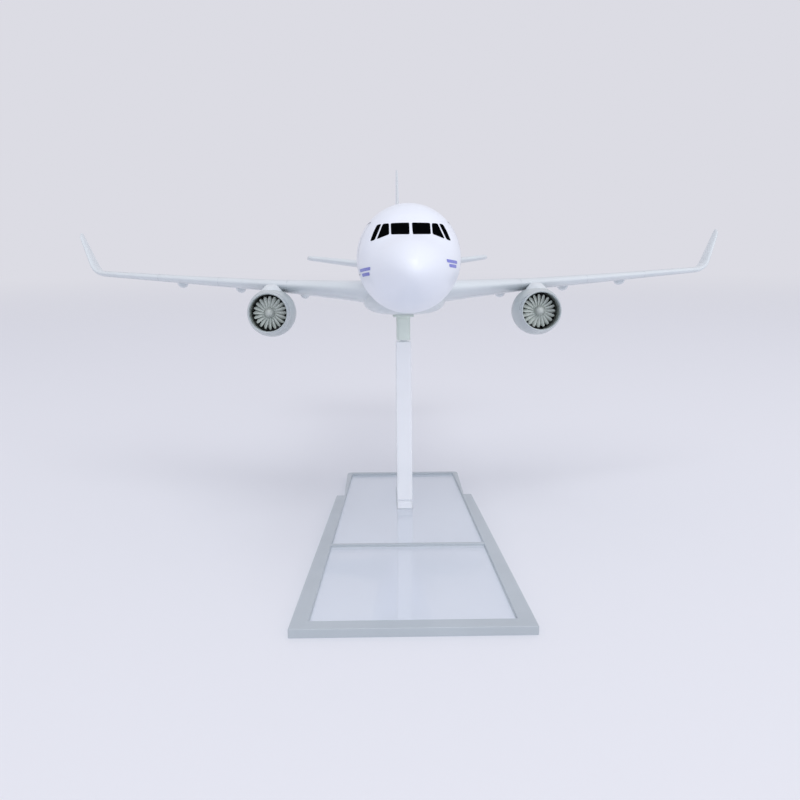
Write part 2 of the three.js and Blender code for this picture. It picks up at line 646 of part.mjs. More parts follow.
const grownSkin = fuselageSkin(GAP, SKIN_STATIONS, SKIN_SIDES);
const tailHalf = tailplane().subtract(grownSkin).add(tailplanePeg(0));
aircraft.add(piece('fuselage', fuselage(), WHITE));
aircraft.add(piece('belly_fairing', bellyFairing(), WING_GREY));
aircraft.add(piece('stand_socket', standSocket(), SOCKET_GREY));
aircraft.add(piece('fin', fin().subtract(grownSkin).add(finPeg(0)), WHITE));
SCREW_STATIONS.forEach((at, i) => {
  aircraft.add(piece(['belly_screw_front', 'belly_screw_rear'][i], bellyScrew(at), STEEL));
});

const sides = [['port', (shape) => shape], ['starboard', mirrored]];
const engineParts = [
  ['pylon', pylon(), WING_GREY],
  ['intake_lip', toEngine(intakeLip()), LIP_GREY],
  ['nacelle_cowl', toEngine(nacelleCowl()), NACELLE_GREY],
  ['engine_core', toEngine(engineCore()), DARK_GREY],
  ['exhaust_plug', toEngine(exhaustPlug()), DARK_GREY],
  ['fan_pin', toEngine(fanPin()), STEEL],
  ['fan', toEngine(fanRotor()), FAN_GREY],
  ['spinner', toEngine(spinner()), FAN_GREY],
];
for (const [side, place] of sides) {
  aircraft.add(piece(`wing_${side}`, place(wing()), WING_GREY));
  aircraft.add(piece(`tailplane_${side}`, place(tailHalf), WING_GREY));
  for (const [name, shape, material] of engineParts) {
    aircraft.add(piece(`${name}_${side}`, place(shape), material));
  }
}

export default group;
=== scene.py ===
"""Looks of the desktop airliner model on its clear stand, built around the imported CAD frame.

Outlines on the aircraft are written in full-size metres (stations from the nose, heights from the
fuselage axis) and scaled to the 160 mm model; engines and stand are in model millimetres.
"""
import json
import math

import bmesh
import bpy
from mathutils import Matrix, Vector


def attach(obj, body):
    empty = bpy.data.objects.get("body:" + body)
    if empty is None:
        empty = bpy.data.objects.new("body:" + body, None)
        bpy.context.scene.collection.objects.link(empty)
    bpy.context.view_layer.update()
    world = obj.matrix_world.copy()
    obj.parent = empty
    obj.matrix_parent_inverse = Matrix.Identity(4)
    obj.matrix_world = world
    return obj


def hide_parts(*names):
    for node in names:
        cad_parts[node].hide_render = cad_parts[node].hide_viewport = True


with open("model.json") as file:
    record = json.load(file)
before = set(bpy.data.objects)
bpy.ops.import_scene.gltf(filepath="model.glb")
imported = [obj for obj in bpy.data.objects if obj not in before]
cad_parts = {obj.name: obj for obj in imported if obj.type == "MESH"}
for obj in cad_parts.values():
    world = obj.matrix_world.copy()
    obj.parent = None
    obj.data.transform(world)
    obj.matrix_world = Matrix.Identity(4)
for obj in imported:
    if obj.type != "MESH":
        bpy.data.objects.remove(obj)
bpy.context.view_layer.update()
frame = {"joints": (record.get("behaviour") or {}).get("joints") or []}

# ---------------------------------------------------------------- the aircraft's own frame
MM = 0.001
SCALE = 160 / 37.57              # model millimetres per full-size metre
POST_STATION = 72                # nose to stand socket, millimetres
# In millimetres: engine centre beside and above the axis, lip behind the nose, fan hinge behind the lip.
ENGINE = {"x": 26.7, "z": -8.8, "lip": 51.1, "hinge_depth": 3.5}
LIP_Y = ENGINE["lip"] - POST_STATION   # the lip's place from the stand socket, back being positive
JOINTS = {joint["name"]: joint for joint in frame["joints"]}
UP = Vector(JOINTS["aircraft_lift"]["axis"]).normalized()
BACK = Vector(JOINTS["fan_port_spin"]["axis"]).normalized()


def aircraft_matrix():
    """Aircraft millimetres (x to port, y back, z up) to the CAD frame in metres."""
    hinge = Vector(JOINTS["fan_port_spin"]["pos_m"])
    depth = LIP_Y + ENGINE["hinge_depth"]
    origin = Vector((0, hinge.y, hinge.z)) - BACK * depth * MM - UP * ENGINE["z"] * MM
    turn = Matrix((Vector((1, 0, 0)), BACK, UP)).transposed().to_4x4()
    return Matrix.Translation(origin) @ turn @ Matrix.Scale(MM, 4)


AIRCRAFT = aircraft_matrix()
STAND = Matrix.Scale(MM, 4)


def station(metres):
    """A full-size station in the aircraft's own millimetres."""
    return metres * SCALE - POST_STATION


# ---------------------------------------------------------------- spacing and blending
def lerp(a, b, t):
    return a + (b - a) * t


def between(p, q, t):
    """The point or table row that lies a share of the way from one to another."""
    return tuple(lerp(a, b, t) for a, b in zip(p, q))


def spread(first, last, steps):
    """Evenly spaced values from the first to the last."""
    return [lerp(first, last, i / steps) for i in range(steps + 1)]


def angles_round(sides):
    """Evenly spaced angles of a whole turn, in radians."""
    return [2 * math.pi * i / sides for i in range(sides)]


# ---------------------------------------------------------------- mesh helpers
MERGE = 1e-7                     # vertices closer than this are one, metres
SMOOTH = 35                      # edges sharper than this many degrees stay sharp
CAST_SMOOTH = 50                 # the same for wings, fins and antennas
PRINT_SMOOTH = 60                # and for printed marks


def turned_outwards(mesh, merge):
    """Makes every face of a mesh look outwards, after merging vertices that meet."""
    bm = bmesh.new()
    bm.from_mesh(mesh)
    if merge:
        bmesh.ops.remove_doubles(bm, verts=bm.verts, dist=merge)
    bmesh.ops.recalc_face_normals(bm, faces=bm.faces)
    bm.to_mesh(mesh)
    bm.free()


def shell_object(name, shape, place, merge=None):
    """An object from (verts, faces) given in aircraft or stand millimetres."""
    verts, faces = shape
    mesh = bpy.data.meshes.new(name)
    mesh.from_pydata([place @ Vector(v) for v in verts], [], faces)
    turned_outwards(mesh, merge)
    obj = bpy.data.objects.new(name, mesh)
    bpy.context.scene.collection.objects.link(obj)
    return obj


def shade(obj, sharp):
    """Smooth shading, except over edges sharper than so many degrees."""
    obj.data.shade_smooth()
    obj.data.set_sharp_from_angle(angle=math.radians(sharp))


def build(name, shape, place, body, materials, sharp=SMOOTH, replaces=(), slots_of=None):
    """A piece of the model, shaded smooth up to the sharp angle."""
    obj = shell_object(name, shape, place, MERGE)
    mesh = obj.data
    for material in materials:
        mesh.materials.append(material)
    if slots_of:
        for polygon in mesh.polygons:
            polygon.material_index = slots_of(place.inverted() @ polygon.center)
    shade(obj, sharp)
    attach(obj, body)
    if replaces:
        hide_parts(*replaces)
    return obj


def cast(name, shape, materials, sharp=SMOOTH, replaces=(), slots_of=None):
    """A piece of the aircraft, in aircraft millimetres."""
    return build(name, shape, AIRCRAFT, "aircraft", materials, sharp, replaces, slots_of)


def printed_on(name, shells, material):
    """Printed marks on the aircraft, as one piece."""
    return cast(name, joined(*shells), [material], PRINT_SMOOTH)


def loft(rings, closed=True, caps=True):
    """Vertices and faces of a skin over rings of equal length."""
    count = len(rings[0])
    verts = [point for ring in rings for point in ring]
    faces = []
    for r in range(len(rings) - 1):
        for i in range(count if closed else count - 1):
            j = (i + 1) % count
            faces.append((r * count + i, r * count + j, (r + 1) * count + j, (r + 1) * count + i))
    if caps:
        faces.append(tuple(reversed(range(count))))
        faces.append(tuple(range((len(rings) - 1) * count, len(rings) * count)))
    return verts, faces


ON_AXIS = 0.01                   # the radius at which a turned profile meets its axis, millimetres


def turned(profile, sides=96):
    """A profile of (radius, depth) pairs turned about the Y axis: closed, or starting and ending on it."""
    rings = []
    for radius, depth in profile:
        rings.append([(radius * math.cos(a), depth, radius * math.sin(a)) for a in angles_round(sides)])
    ends_on_axis = profile[0][0] <= ON_AXIS
    verts, faces = loft(rings, caps=ends_on_axis)
    if not ends_on_axis:
        last = (len(rings) - 1) * sides
        for i in range(sides):
            j = (i + 1) % sides
            faces.append((last + i, last + j, j, i))
    return verts, faces


def joined(*shapes):
    """Several (verts, faces) shells as one list."""
    verts, faces = [], []
    for more_verts, more_faces in shapes:
        shift = len(verts)
        verts += list(more_verts)
        faces += [tuple(i + shift for i in face) for face in more_faces]
    return verts, faces


def prism(outline, low, high):
    """An outline of (x, y) points standing between two heights."""
    count = len(outline)
    verts = [(x, y, low) for x, y in outline] + [(x, y, high) for x, y in outline]
    faces = [tuple(reversed(range(count))), tuple(range(count, 2 * count))]
    faces += [(i, (i + 1) % count, (i + 1) % count + count, i + count) for i in range(count)]
    return verts, faces


def plate(outline, thickness):
    """An outline of (y, z) points as a plate standing on its edge."""
    verts, faces = prism(outline, -thickness / 2, thickness / 2)
    return [(x, y, z) for y, z, x in verts], faces


def block(low, high):
    (x0, y0, z0), (x1, y1, z1) = low, high
    return prism([(x0, y0), (x1, y0), (x1, y1), (x0, y1)], z0, z1)


def carve(obj, cutters, place, join=False):
    """Cuts or joins shells with a boolean modifier and applies it."""
    for shape in cutters:
        tool = shell_object("cutter", shape, place)
        modifier = obj.modifiers.new("cut", "BOOLEAN")
        modifier.operation = "UNION" if join else "DIFFERENCE"
        modifier.solver = "EXACT"
        modifier.object = tool
        apply_modifiers(obj)
        bpy.data.objects.remove(tool)


def apply_modifiers(obj):
    bpy.context.view_layer.update()
    graph = bpy.context.evaluated_depsgraph_get()
    mesh = bpy.data.meshes.new_from_object(obj.evaluated_get(graph))
    obj.modifiers.clear()
    obj.data = mesh


def rounded(obj, width, segments=4, angle=30):
    """Rolls every sharp edge over by a small bevel and keeps the flat faces flat."""
    bevel = obj.modifiers.new("edge", "BEVEL")
    bevel.width = width * MM
    bevel.segments = segments
    bevel.limit_method = "ANGLE"
    bevel.angle_limit = math.radians(angle)
    bevel.use_clamp_overlap = True
    apply_modifiers(obj)
    flattened(obj)


def flattened(obj, sharp=60):
    """Smooth shading in which the large faces set the normals, so flat faces stay flat."""
    shade(obj, sharp)
    weigh = obj.modifiers.new("normals", "WEIGHTED_NORMAL")
    weigh.mode = "FACE_AREA"
    weigh.weight = 50
    weigh.keep_sharp = True
    apply_modifiers(obj)


def bezier(a, bend, b, steps):
    """Points of a quadratic curve in the plane."""
    return [between(between(a, bend, t), between(bend, b, t), t) for t in spread(0, 1, steps)]


def smooth_rows(rows, steps):
    """Catmull-Rom rows between the rows of a table."""
    result = []
    padded = [rows[0], *rows, rows[-1]]
    for i in range(1, len(padded) - 2):
        for n in range(steps):
            t = n / steps
            result.append(tuple(0.5 * (2 * b + (c - a) * t + (2 * a - 5 * b + 4 * c - d) * t ** 2
                                       + (3 * b - a - 3 * c + d) * t ** 3)
                                for a, b, c, d in zip(*padded[i - 1:i + 3])))
    return result + [rows[-1]]


def row_at(table, at):
    """The row of a table at a place, in straight steps between its rows."""
    k = 0
    while k + 2 < len(table) and at > table[k + 1][0]:
        k += 1
    t = (at - table[k][0]) / (table[k + 1][0] - table[k][0])
    return between(table[k], table[k + 1], t)


# ---------------------------------------------------------------- materials
def add(material, kind, **values):
    """A new shader node with some of its sockets set."""
    node = material.node_tree.nodes.new(f"ShaderNode{kind}")
    return set_sockets(node, **values)


def set_sockets(node, **values):
    """Sets a node's inputs by name, with underscores for spaces."""
    for key, value in values.items():
        node.inputs[key.replace("_", " ")].default_value = value
    return node


def shader(name, color, roughness, metallic=0.0, coat=0.0, **values):
    """A new material and its Principled node."""
    material = bpy.data.materials.new(name)
    material.use_nodes = True
    node = set_sockets(material.node_tree.nodes["Principled BSDF"], Base_Color=(*color, 1),
                       Roughness=roughness, Metallic=metallic, Coat_Weight=coat, **values)
    return material, node


def noise_node(material, scale, detail=4.0, stretch=(1, 1, 1)):
    """Noise over object space, in metres."""
    links = material.node_tree.links
    mapping = add(material, "Mapping", Scale=stretch)
    texture = add(material, "TexNoise", Scale=scale, Detail=detail)
    links.new(add(material, "TexCoord").outputs["Object"], mapping.inputs["Vector"])
    links.new(mapping.outputs["Vector"], texture.inputs["Vector"])
    return texture


def drive(material, socket, texture, low, high, start=0.35, end=0.65):
    """Runs a socket from one colour to another with a texture."""
    links = material.node_tree.links
    ramp = add(material, "ValToRGB")
    for element, place, color in zip(ramp.color_ramp.elements, (start, end), (low, high)):
        element.position = place
        element.color = (*color, 1)
    links.new(texture.outputs["Fac"], ramp.inputs["Fac"])
    links.new(ramp.outputs["Color"], socket)


def uneven(material, node, texture, low, high, start=0.35, end=0.65):
    """Roughness that runs from low to high with a texture."""
    drive(material, node.inputs["Roughness"], texture, (low,) * 3, (high,) * 3, start, end)


def bump(material, node, texture, strength, distance):
    """Small hills in the surface where the texture is bright."""
    links = material.node_tree.links
    hills = add(material, "Bump", Strength=strength, Distance=distance)
    links.new(texture.outputs["Fac"], hills.inputs["Height"])
    links.new(hills.outputs["Normal"], node.inputs["Normal"])


# Scales of the noise on the finishes, in waves per metre.
MOTTLING, GLOSS_CLOUDS, ORANGE_PEEL, INK_GRAIN, HANDLING, RIPPLES, TURNING = 90, 260, 2600, 1400, 70, 120, 900


def painted(name, color, roughness, coat=0.3, vary=0.03, metallic=0.0, peel=0.05):
    """Sprayed enamel or moulded plastic: faint mottling, uneven gloss and orange peel."""
    material, node = shader(name, color, roughness, metallic, coat, Coat_Roughness=0.06)
    darker = [c * (1 - vary) for c in color]
    lighter = [min(c * (1 + vary * 0.5), 1) for c in color]
    drive(material, node.inputs["Base Color"], noise_node(material, MOTTLING), darker, lighter)
    uneven(material, node, noise_node(material, GLOSS_CLOUDS, 3), roughness * 0.85, roughness * 1.2)
    bump(material, node, noise_node(material, ORANGE_PEEL, 2), peel, 0.00002)
    return material


def printed(name, color, roughness, gloss=0.15):
    """Pad-printed ink: almost flat, a little uneven."""
    material, node = shader(name, color, roughness, Specular_IOR_Level=gloss)
    lighter = [c * 1.2 + 0.0005 for c in color]
    drive(material, node.inputs["Base Color"], noise_node(material, INK_GRAIN, 3), color, lighter)
    return material


def mixed(material, share, first, second):
    """Two shaders mixed by a share, as the material's surface."""
    mix = add(material, "MixShader")
    surface = material.node_tree.nodes["Material Output"].inputs["Surface"]
    for source, socket in ((share, mix.inputs["Fac"]), (first, mix.inputs[1]), (second, mix.inputs[2]),
                           (mix.outputs["Shader"], surface)):
        material.node_tree.links.new(source, socket)


def lets_light_through(material, node, tint):
    """Shadow rays and soft bounce light pass through the piece, tinted, as through clear plastic."""
    path = add(material, "LightPath")
    soft = add(material, "Math")
    soft.operation = "MAXIMUM"
    for kind, socket in zip(("Is Shadow Ray", "Is Diffuse Ray"), soft.inputs):
        material.node_tree.links.new(path.outputs[kind], socket)
    open_air = add(material, "BsdfTransparent", Color=(*tint, 1))
    mixed(material, soft.outputs["Value"], node.outputs["BSDF"], open_air.outputs["BSDF"])


def acrylic(name, color, clearness, low, high):
    """Polished acrylic, water clear at clearness 1; handling marks move the roughness from low to high."""
    material, node = shader(name, color, low, IOR=1.49, Transmission_Weight=clearness)
    lets_light_through(material, node, (0.965, 0.975, 0.985))
    uneven(material, node, noise_node(material, HANDLING, 6, (1, 0.35, 1)), low, high, 0.4, 0.75)
    bump(material, node, noise_node(material, RIPPLES, 2), 0.03, 0.00005)
    return material


def painted_shade_rim():
    """The tray's rim, rib and outer walls in a frosted grey, a little darker than the panel: painted shade
    for the dark refraction seen in the clear rims.
    """
    material = painted("acrylic_rim_painted_shade", (0.45, 0.50, 0.54), 0.35, coat=0.4, vary=0.03, peel=0.01)
    node = material.node_tree.nodes["Principled BSDF"]
    lets_light_through(material, node, (0.86, 0.89, 0.91))
    return material


def brushed(name, color, roughness):
    """Bare metal with fine turning marks."""
    material, node = shader(name, color, roughness, metallic=1.0)
    uneven(material, node, noise_node(material, TURNING, 2, (1, 0.1, 1)), roughness * 0.7, roughness * 1.3)
    return material


WHITE = painted("gloss_white_paint", (0.82, 0.86, 0.94), 0.34, coat=0.12, vary=0.012, peel=0.03)
WING_GREY = painted("light_grey_paint", (0.68, 0.73, 0.76), 0.34, vary=0.03)
NACELLE_GREY = painted("nacelle_grey", (0.50, 0.55, 0.56), 0.38, vary=0.04)
LIP_GREY = painted("intake_lip_grey", (0.48, 0.53, 0.55), 0.30, metallic=0.15)
FAN_GREY = painted("fan_grey", (0.73, 0.79, 0.76), 0.36, vary=0.05)
SPINNER_GREY = painted("spinner_grey", (0.44, 0.48, 0.46), 0.26, coat=0.7, vary=0.05)
DARK_GREY = painted("dark_grey", (0.15, 0.165, 0.165), 0.5, coat=0.1, vary=0.08)
SOCKET_GREY = painted("socket_grey", (0.73, 0.81, 0.76), 0.4, vary=0.03)
# Inside of the intake and fan case, darker than the cowl: painted shade for the shadow in the duct.
CASE_PAINTED_SHADE = painted("fan_case_painted_shade", (0.40, 0.45, 0.42), 0.5, coat=0.1, vary=0.1)
LINE_GREY = printed("panel_line", (0.20, 0.215, 0.235), 0.4)
SOFT_LINE = printed("wing_line", (0.50, 0.54, 0.57), 0.4)
WINDOW_BLACK = printed("window_black", (0.0012, 0.0016, 0.0018), 0.3, 0.0)
CABIN_DARK = printed("cabin_window", (0.045, 0.055, 0.075), 0.2)
MARK_BLUE = printed("mark_blue", (0.17, 0.19, 0.58), 0.3)
STEEL = brushed("steel", (0.62, 0.63, 0.65), 0.28)
CLEAR = acrylic("clear_acrylic", (0.93, 0.96, 0.99), 1.0, 0.05, 0.12)
# Clear acrylic made part diffuse and whitish: painted sheen for the light that the clear blade reflects.
MILKY_PAINTED_SHEEN = acrylic("acrylic_painted_sheen", (0.94, 0.96, 0.99), 0.36, 0.06, 0.14)
# Rim, rib and outer walls of the tray: painted shade for the dark refraction in the clear rims.
RIM_PAINTED_SHADE = painted_shade_rim()

# ---------------------------------------------------------------- fuselage
# station, half width, top, bottom
FUSELAGE = [
    (0, 0, -0.65, -0.65),
    (0.12, 0.34, -0.32, -0.93),
    (0.5, 0.70, 0.02, -1.20),
    (1.1, 1.05, 0.33, -1.45),
    (2.0, 1.41, 0.66, -1.70),
    (2.6, 1.58, 1.04, -1.82),
    (3.3, 1.74, 1.54, -1.92),
    (4.2, 1.88, 1.87, -2.01),
    (5.6, 1.97, 2.06, -2.07),
    (7.5, 1.975, 2.07, -2.07),
    (24.0, 1.975, 2.07, -2.07),
    (27.0, 1.87, 2.06, -1.76),
    (30.0, 1.53, 2.00, -1.02),
    (33.0, 0.98, 1.86, -0.14),
    (35.4, 0.54, 1.60, 0.53),
    (37.0, 0.25, 1.32, 0.86),
    (37.57, 0.12, 1.20, 0.98),
]
NOSE_END = 7.5
TAIL_START = 24.0
LENGTH = FUSELAGE[-1][0]
NOSE_TIP = [0.0004, 0.003]       # extra stations that round off the very tip
HALVINGS = 40                    # steps of the search for a point on the nose
NEARBY = 0.02                    # reach for a slope on the nose, metres and radians


def along(table, column, at):
    """Smooth value of one column of a table, in steps of the root of the station."""
    root = math.sqrt(max(at, 0))
    knots = [math.sqrt(row[0]) for row in table]
    values = [row[column] for row in table]
    rises = [(w - v) / (b - a) for v, w, a, b in zip(values, values[1:], knots, knots[1:])]
    k = 0
    while k + 2 < len(knots) and root > knots[k + 1]:
        k += 1

    def slope(i):
        before, after = rises[max(i - 1, 0)], rises[min(i, len(rises) - 1)]
        return 0 if before * after <= 0 else 2 * before * after / (before + after)

    span = knots[k + 1] - knots[k]
    t = min(max((root - knots[k]) / span, 0), 1)
    return ((2 * t ** 3 - 3 * t ** 2 + 1) * values[k] + (t ** 3 - 2 * t ** 2 + t) * span * slope(k)
            + (3 * t ** 2 - 2 * t ** 3) * values[k + 1] + (t ** 3 - t ** 2) * span * slope(k + 1))


def section(at):
    """Half width, half height and middle height of the fuselage at a station."""
    half, top, bottom = (along(FUSELAGE, column, at) for column in (1, 2, 3))
    return half, (top - bottom) / 2, (top + bottom) / 2


def skin(at, angle, lift=0.0):
    """A point on the fuselage; angle 0 is port, 90 degrees the top; lift in millimetres."""
    half, height, middle = section(at)
    x = half * SCALE * math.cos(angle)
    z = height * SCALE * math.sin(angle)
    normal = Vector((math.cos(angle) / max(half, 0.01), 0, math.sin(angle) / max(height, 0.01)))
    normal.normalize()
    return Vector((x + normal.x * lift, station(at), middle * SCALE + z + normal.z * lift))


def skin_from_side(at, height, side, lift):
    """The point on the port (+1) or starboard (-1) side at a station and height."""
    _, tall, middle = section(at)
    sine = min(max((height - middle) / tall, -0.999), 0.999)
    angle = math.asin(sine)
    point = skin(at, angle, lift)
    return Vector((point.x * side, point.y, point.z))


def skin_from_front(x, height, lift):
    """The nose point seen from ahead at a half width and height, found by halving."""
    low, high = 0.0005, NOSE_END
    for _ in range(HALVINGS):
        middle_at = (low + high) / 2
        half, tall, middle = section(middle_at)
        outside = (x / half) ** 2 + ((height - middle) / tall) ** 2 > 1
        low, high = (middle_at, high) if outside else (low, middle_at)
    half, tall, middle = section(high)
    angle = math.atan2((height - middle) / tall, x / half)
    ahead = skin(max(high - NEARBY, 0.001), angle)
    behind = skin(high + NEARBY, angle)
    around = skin(high, angle + NEARBY) - skin(high, angle - NEARBY)
    normal = around.cross(behind - ahead).normalized()
    point = skin(high, angle)
    if normal.dot(point - Vector((0, station(high), middle * SCALE))) < 0:
        normal.negate()
    return point + normal * lift


# The exhaust recess in the tail's end: shares of the end's outline at its rim and floor, and its depth.
RECESS = {"rim": 0.72, "floor": 0.66, "deep": 0.9}


def fuselage_piece():
    """The skin from nose to tail, with the exhaust recess and a slot for the blade's top tang."""
    nose_steps, barrel_steps, tail_steps, sides = 64, 20, 44, 96
    nose = NOSE_TIP + [(i / nose_steps * math.sqrt(NOSE_END)) ** 2 for i in range(1, nose_steps + 1)]
    barrel = spread(NOSE_END, TAIL_START, barrel_steps)[1:-1]
    tail = spread(TAIL_START, LENGTH, tail_steps)
    rings = [[skin(at, angle) for angle in angles_round(sides)] for at in nose + barrel + tail]
    end = rings[-1]
    centre = sum(end, Vector()) / sides
    for share, inset in ((RECESS["rim"], 0.0), (RECESS["floor"], RECESS["deep"])):
        rings.append([centre + (p - centre) * share - Vector((0, inset, 0)) for p in end])
    radius = min((p - centre).length for p in end) * (1 + RECESS["rim"]) / 2

    def in_recess(p):
        """1 inside the recess, which is painted dark, and 0 on the skin."""
        near_end = 0.001 < centre.y - p.y < RECESS["deep"] + 0.1
        return int(near_end and math.hypot(p.x, p.z - centre.z) < radius)

    obj = cast("fuselage_skin", loft(rings), [WHITE, DARK_GREY],
               replaces=["fuselage"], slots_of=in_recess)
    carve(obj, [tang_slot(BELOW)], AIRCRAFT)
    shade(obj, SMOOTH)


def rounded_corners(corners, radius, steps=4):
    """The corners of a flat outline replaced by small arcs."""
    points = []
    count = len(corners)
    for i in range(count):
        here = Vector(corners[i])
        before = Vector(corners[i - 1]) - here
        after = Vector(corners[(i + 1) % count]) - here
        cut = min(radius, before.length / 2.2, after.length / 2.2)
        start = here + before.normalized() * cut
        end = here + after.normalized() * cut
        points += bezier(tuple(start), tuple(here), tuple(end), steps)
    return points


def decal(outline, place_point, rings):
    """A thin printed patch: the outline shrunk towards its middle in rings and filled."""
    count = len(outline)
    centre = middle_of(outline)
    shrunk = []
    for r in range(rings + 1):
        share = 1 - r / (rings + 1)
        shrunk.append([place_point(between(centre, p, share)) for p in outline])
    verts, faces = loft(shrunk, caps=False)
    verts.append(place_point(centre))
    last = rings * count
    faces += [(last + i, last + (i + 1) % count, len(verts) - 1) for i in range(count)]
    return verts, faces


def middle_of(outline):
    return [sum(p[k] for p in outline) / len(outline) for k in (0, 1)]


def frame_line(outline, width, place_point):
    """A thin closed line printed round an outline."""
    centre = Vector(middle_of(outline))
    rays = [Vector(p) - centre for p in outline]
    edges = [[place_point(centre + ray * (1 + grow / ray.length)) for ray in rays] for grow in (0, width)]
    return loft(edges, caps=False)


PRINT = 0.025                    # how far printed marks stand off the paint, millimetres
# Cockpit panes seen from ahead: half width and height of the four corners, top inner first.
PANES = [
    [(0.045, 1.07), (0.685, 1.07), (0.68, 0.635), (0.055, 0.61)],
    [(0.745, 1.07), (0.955, 1.07), (1.17, 0.50), (0.74, 0.645)],
    [(1.01, 1.07), (1.16, 1.055), (1.29, 0.78), (1.405, 0.45), (1.24, 0.485)],
]
PANE_CORNER = 0.055
WINDOW_CORNER = 0.1
DOOR_CORNER = 0.14
DOOR_LINE = 0.035
CABIN_WINDOWS = {"first": 6.15, "last": 29.6, "pitch": 0.533, "height": 0.38, "wide": 0.11, "tall": 0.17}
# Doors and overwing exits: station, width, foot, head.
DOORS = [(4.55, 0.81, -0.62, 1.22), (31.0, 0.81, -0.38, 1.30)]
EXITS = [(15.6, 0.51, -0.12, 0.80), (16.65, 0.51, -0.12, 0.80)]
# Plain blue bars behind the nose: first and last station, height; port, then starboard.
MARKS = {1: [(1.45, 2.75, -0.30), (1.60, 2.60, -0.45)], -1: [(1.95, 3.90, -0.52), (2.10, 3.60, -0.69)]}
MARK_TALL = 0.055
MARK_CORNER = 0.07


def cockpit_windows():
    shells = []
    for side in (1, -1):
        for pane in PANES:
            outline = subdivided(rounded_corners(pane, PANE_CORNER), 0.05)

            def place(p, side=side):
                point = skin_from_front(p[0], p[1], PRINT)
                return (point.x * side, point.y, point.z)

            shells.append(decal(outline, place, 7))
    printed_on("cockpit_windows", shells, WINDOW_BLACK)


def side_prints():
    windows, lines, marks = [], [], []
    for side in (1, -1):
        def place(p, side=side):
            return skin_from_side(p[0], p[1], side, PRINT)

        count = int((CABIN_WINDOWS["last"] - CABIN_WINDOWS["first"]) / CABIN_WINDOWS["pitch"]) + 1
        for i in range(count):
            at = CABIN_WINDOWS["first"] + i * CABIN_WINDOWS["pitch"]
            corners = box_corners(at, CABIN_WINDOWS["height"], CABIN_WINDOWS["wide"], CABIN_WINDOWS["tall"])
            windows.append(decal(rounded_corners(corners, WINDOW_CORNER, 3), place, 1))
        for at, wide, low, high in DOORS + EXITS:
            corners = box_corners(at, (low + high) / 2, wide / 2, (high - low) / 2)
            dense = subdivided(rounded_corners(corners, DOOR_CORNER), 0.2)
            lines.append(frame_line(dense, DOOR_LINE, place))
        for first, last, height in MARKS[side]:
            corners = box_corners((first + last) / 2, height, (last - first) / 2, MARK_TALL)
            marks.append(decal(subdivided(rounded_corners(corners, MARK_CORNER, 3), 0.15), place, 2))
    printed_on("cabin_windows", windows, CABIN_DARK)
    printed_on("door_lines", lines, LINE_GREY)
    printed_on("side_marks", marks, MARK_BLUE)


def box_corners(x, y, half_x, half_y):
    """The corners of a rectangle about a point."""
    return [(x + a * half_x, y + b * half_y) for a, b in ((-1, 1), (1, 1), (1, -1), (-1, -1))]


def subdivided(outline, step):
    """Extra points so that no span of an outline is longer than the step."""
    points = []
    for i, p in enumerate(outline):
        q = outline[(i + 1) % len(outline)]
        pieces = max(1, math.ceil(math.dist(p, q) / step))
        points += [between(p, q, n / pieces) for n in range(pieces)]
    return points


# ---------------------------------------------------------------- wings and tail
# Wing: half span, leading edge station, chord, height, thickness, incidence in degrees.
WING = [
    (1.10, 11.28, 7.00, -1.22, 1.02, 3.0),
    (1.50, 11.50, 6.75, -1.19, 0.98, 3.0),
    (3.00, 12.33, 5.75, -1.06, 0.80, 2.6),
    (6.40, 14.10, 3.95, -0.77, 0.52, 1.8),
    (11.00, 16.50, 2.85, -0.38, 0.38, 0.8),
    (16.00, 19.10, 1.68, 0.05, 0.27, 0),
]
DIHEDRAL = math.atan(0.0855)
# The upturned tip in (half span, height): bent towards the first point up to the second, then straight.
SHARKLET_BEND = (16.55, 0.10)
SHARKLET_START = (16.86, 0.61)
SHARKLET_TIP = (17.94, 2.38)
SHARKLET_END = {"lead": 21.45, "chord": 0.68, "thick": 0.14}
SHARKLET_ROUNDS = 0.1            # the last share of the tip's path, where its outline rounds off
# Tailplane: half span, leading edge station, chord, height, thickness.
TAILPLANE = [
    (0.30, 31.45, 4.30, 0.82, 0.56),
    (6.33, 35.15, 1.55, 1.68, 0.32),
    (6.50, 35.55, 0.95, 1.71, 0.22),
]
TAIL_DIHEDRAL = math.atan(0.143)
# Fin: height, leading edge station, chord, thickness.
FIN = [
    (1.55, 29.00, 7.00, 0.36),
    (2.40, 30.75, 5.42, 0.32),
    (7.60, 35.05, 2.05, 0.15),
    (7.90, 35.60, 1.40, 0.12),
]
FIN_EDGE = 0.07                  # chord share of the bare leading edge
RUDDER_LINE = {"at": 0.68, "foot": 2.45, "head": 7.5, "wide": 0.0065}   # shares of the chord; heights
TRACKS = [(5.03, 2.7), (8.43, 2.2), (11.68, 1.9)]   # flap-track fairings: half span, length
TRACK_FORE = 0.78                # share of a fairing that lies ahead of the trailing edge
TRACK_HALF_WIDTH = 0.21
TRACK_HALF_HEIGHT = 0.24
AEROFOIL_STEPS = 28
TAIL_STEPS = 20                  # the same for tailplane and fin


def aerofoil_point(spec, c, upper, lift=0.0):
    """A point on an aerofoil ring: c runs from the leading edge (0) to the trailing edge (1)."""
    thick = spec["thick"]
    trailing = 0.16 * thick + 0.12
    bulge = 5 * (0.2969 * math.sqrt(c) - 0.126 * c - 0.3516 * c ** 2 + 0.2843 * c ** 3 - 0.1036 * c ** 4)
    half = thick * bulge + trailing * c / 2 + lift
    run = spec["lead"] + c * spec["chord"]
    rise = (half if upper else -half) - (run - spec["lead"] - spec["chord"] / 2) * math.tan(spec["incidence"])
    tilt = spec["tilt"]
    return (spec["x"] - rise * math.sin(tilt), run, spec["z"] + rise * math.cos(tilt))


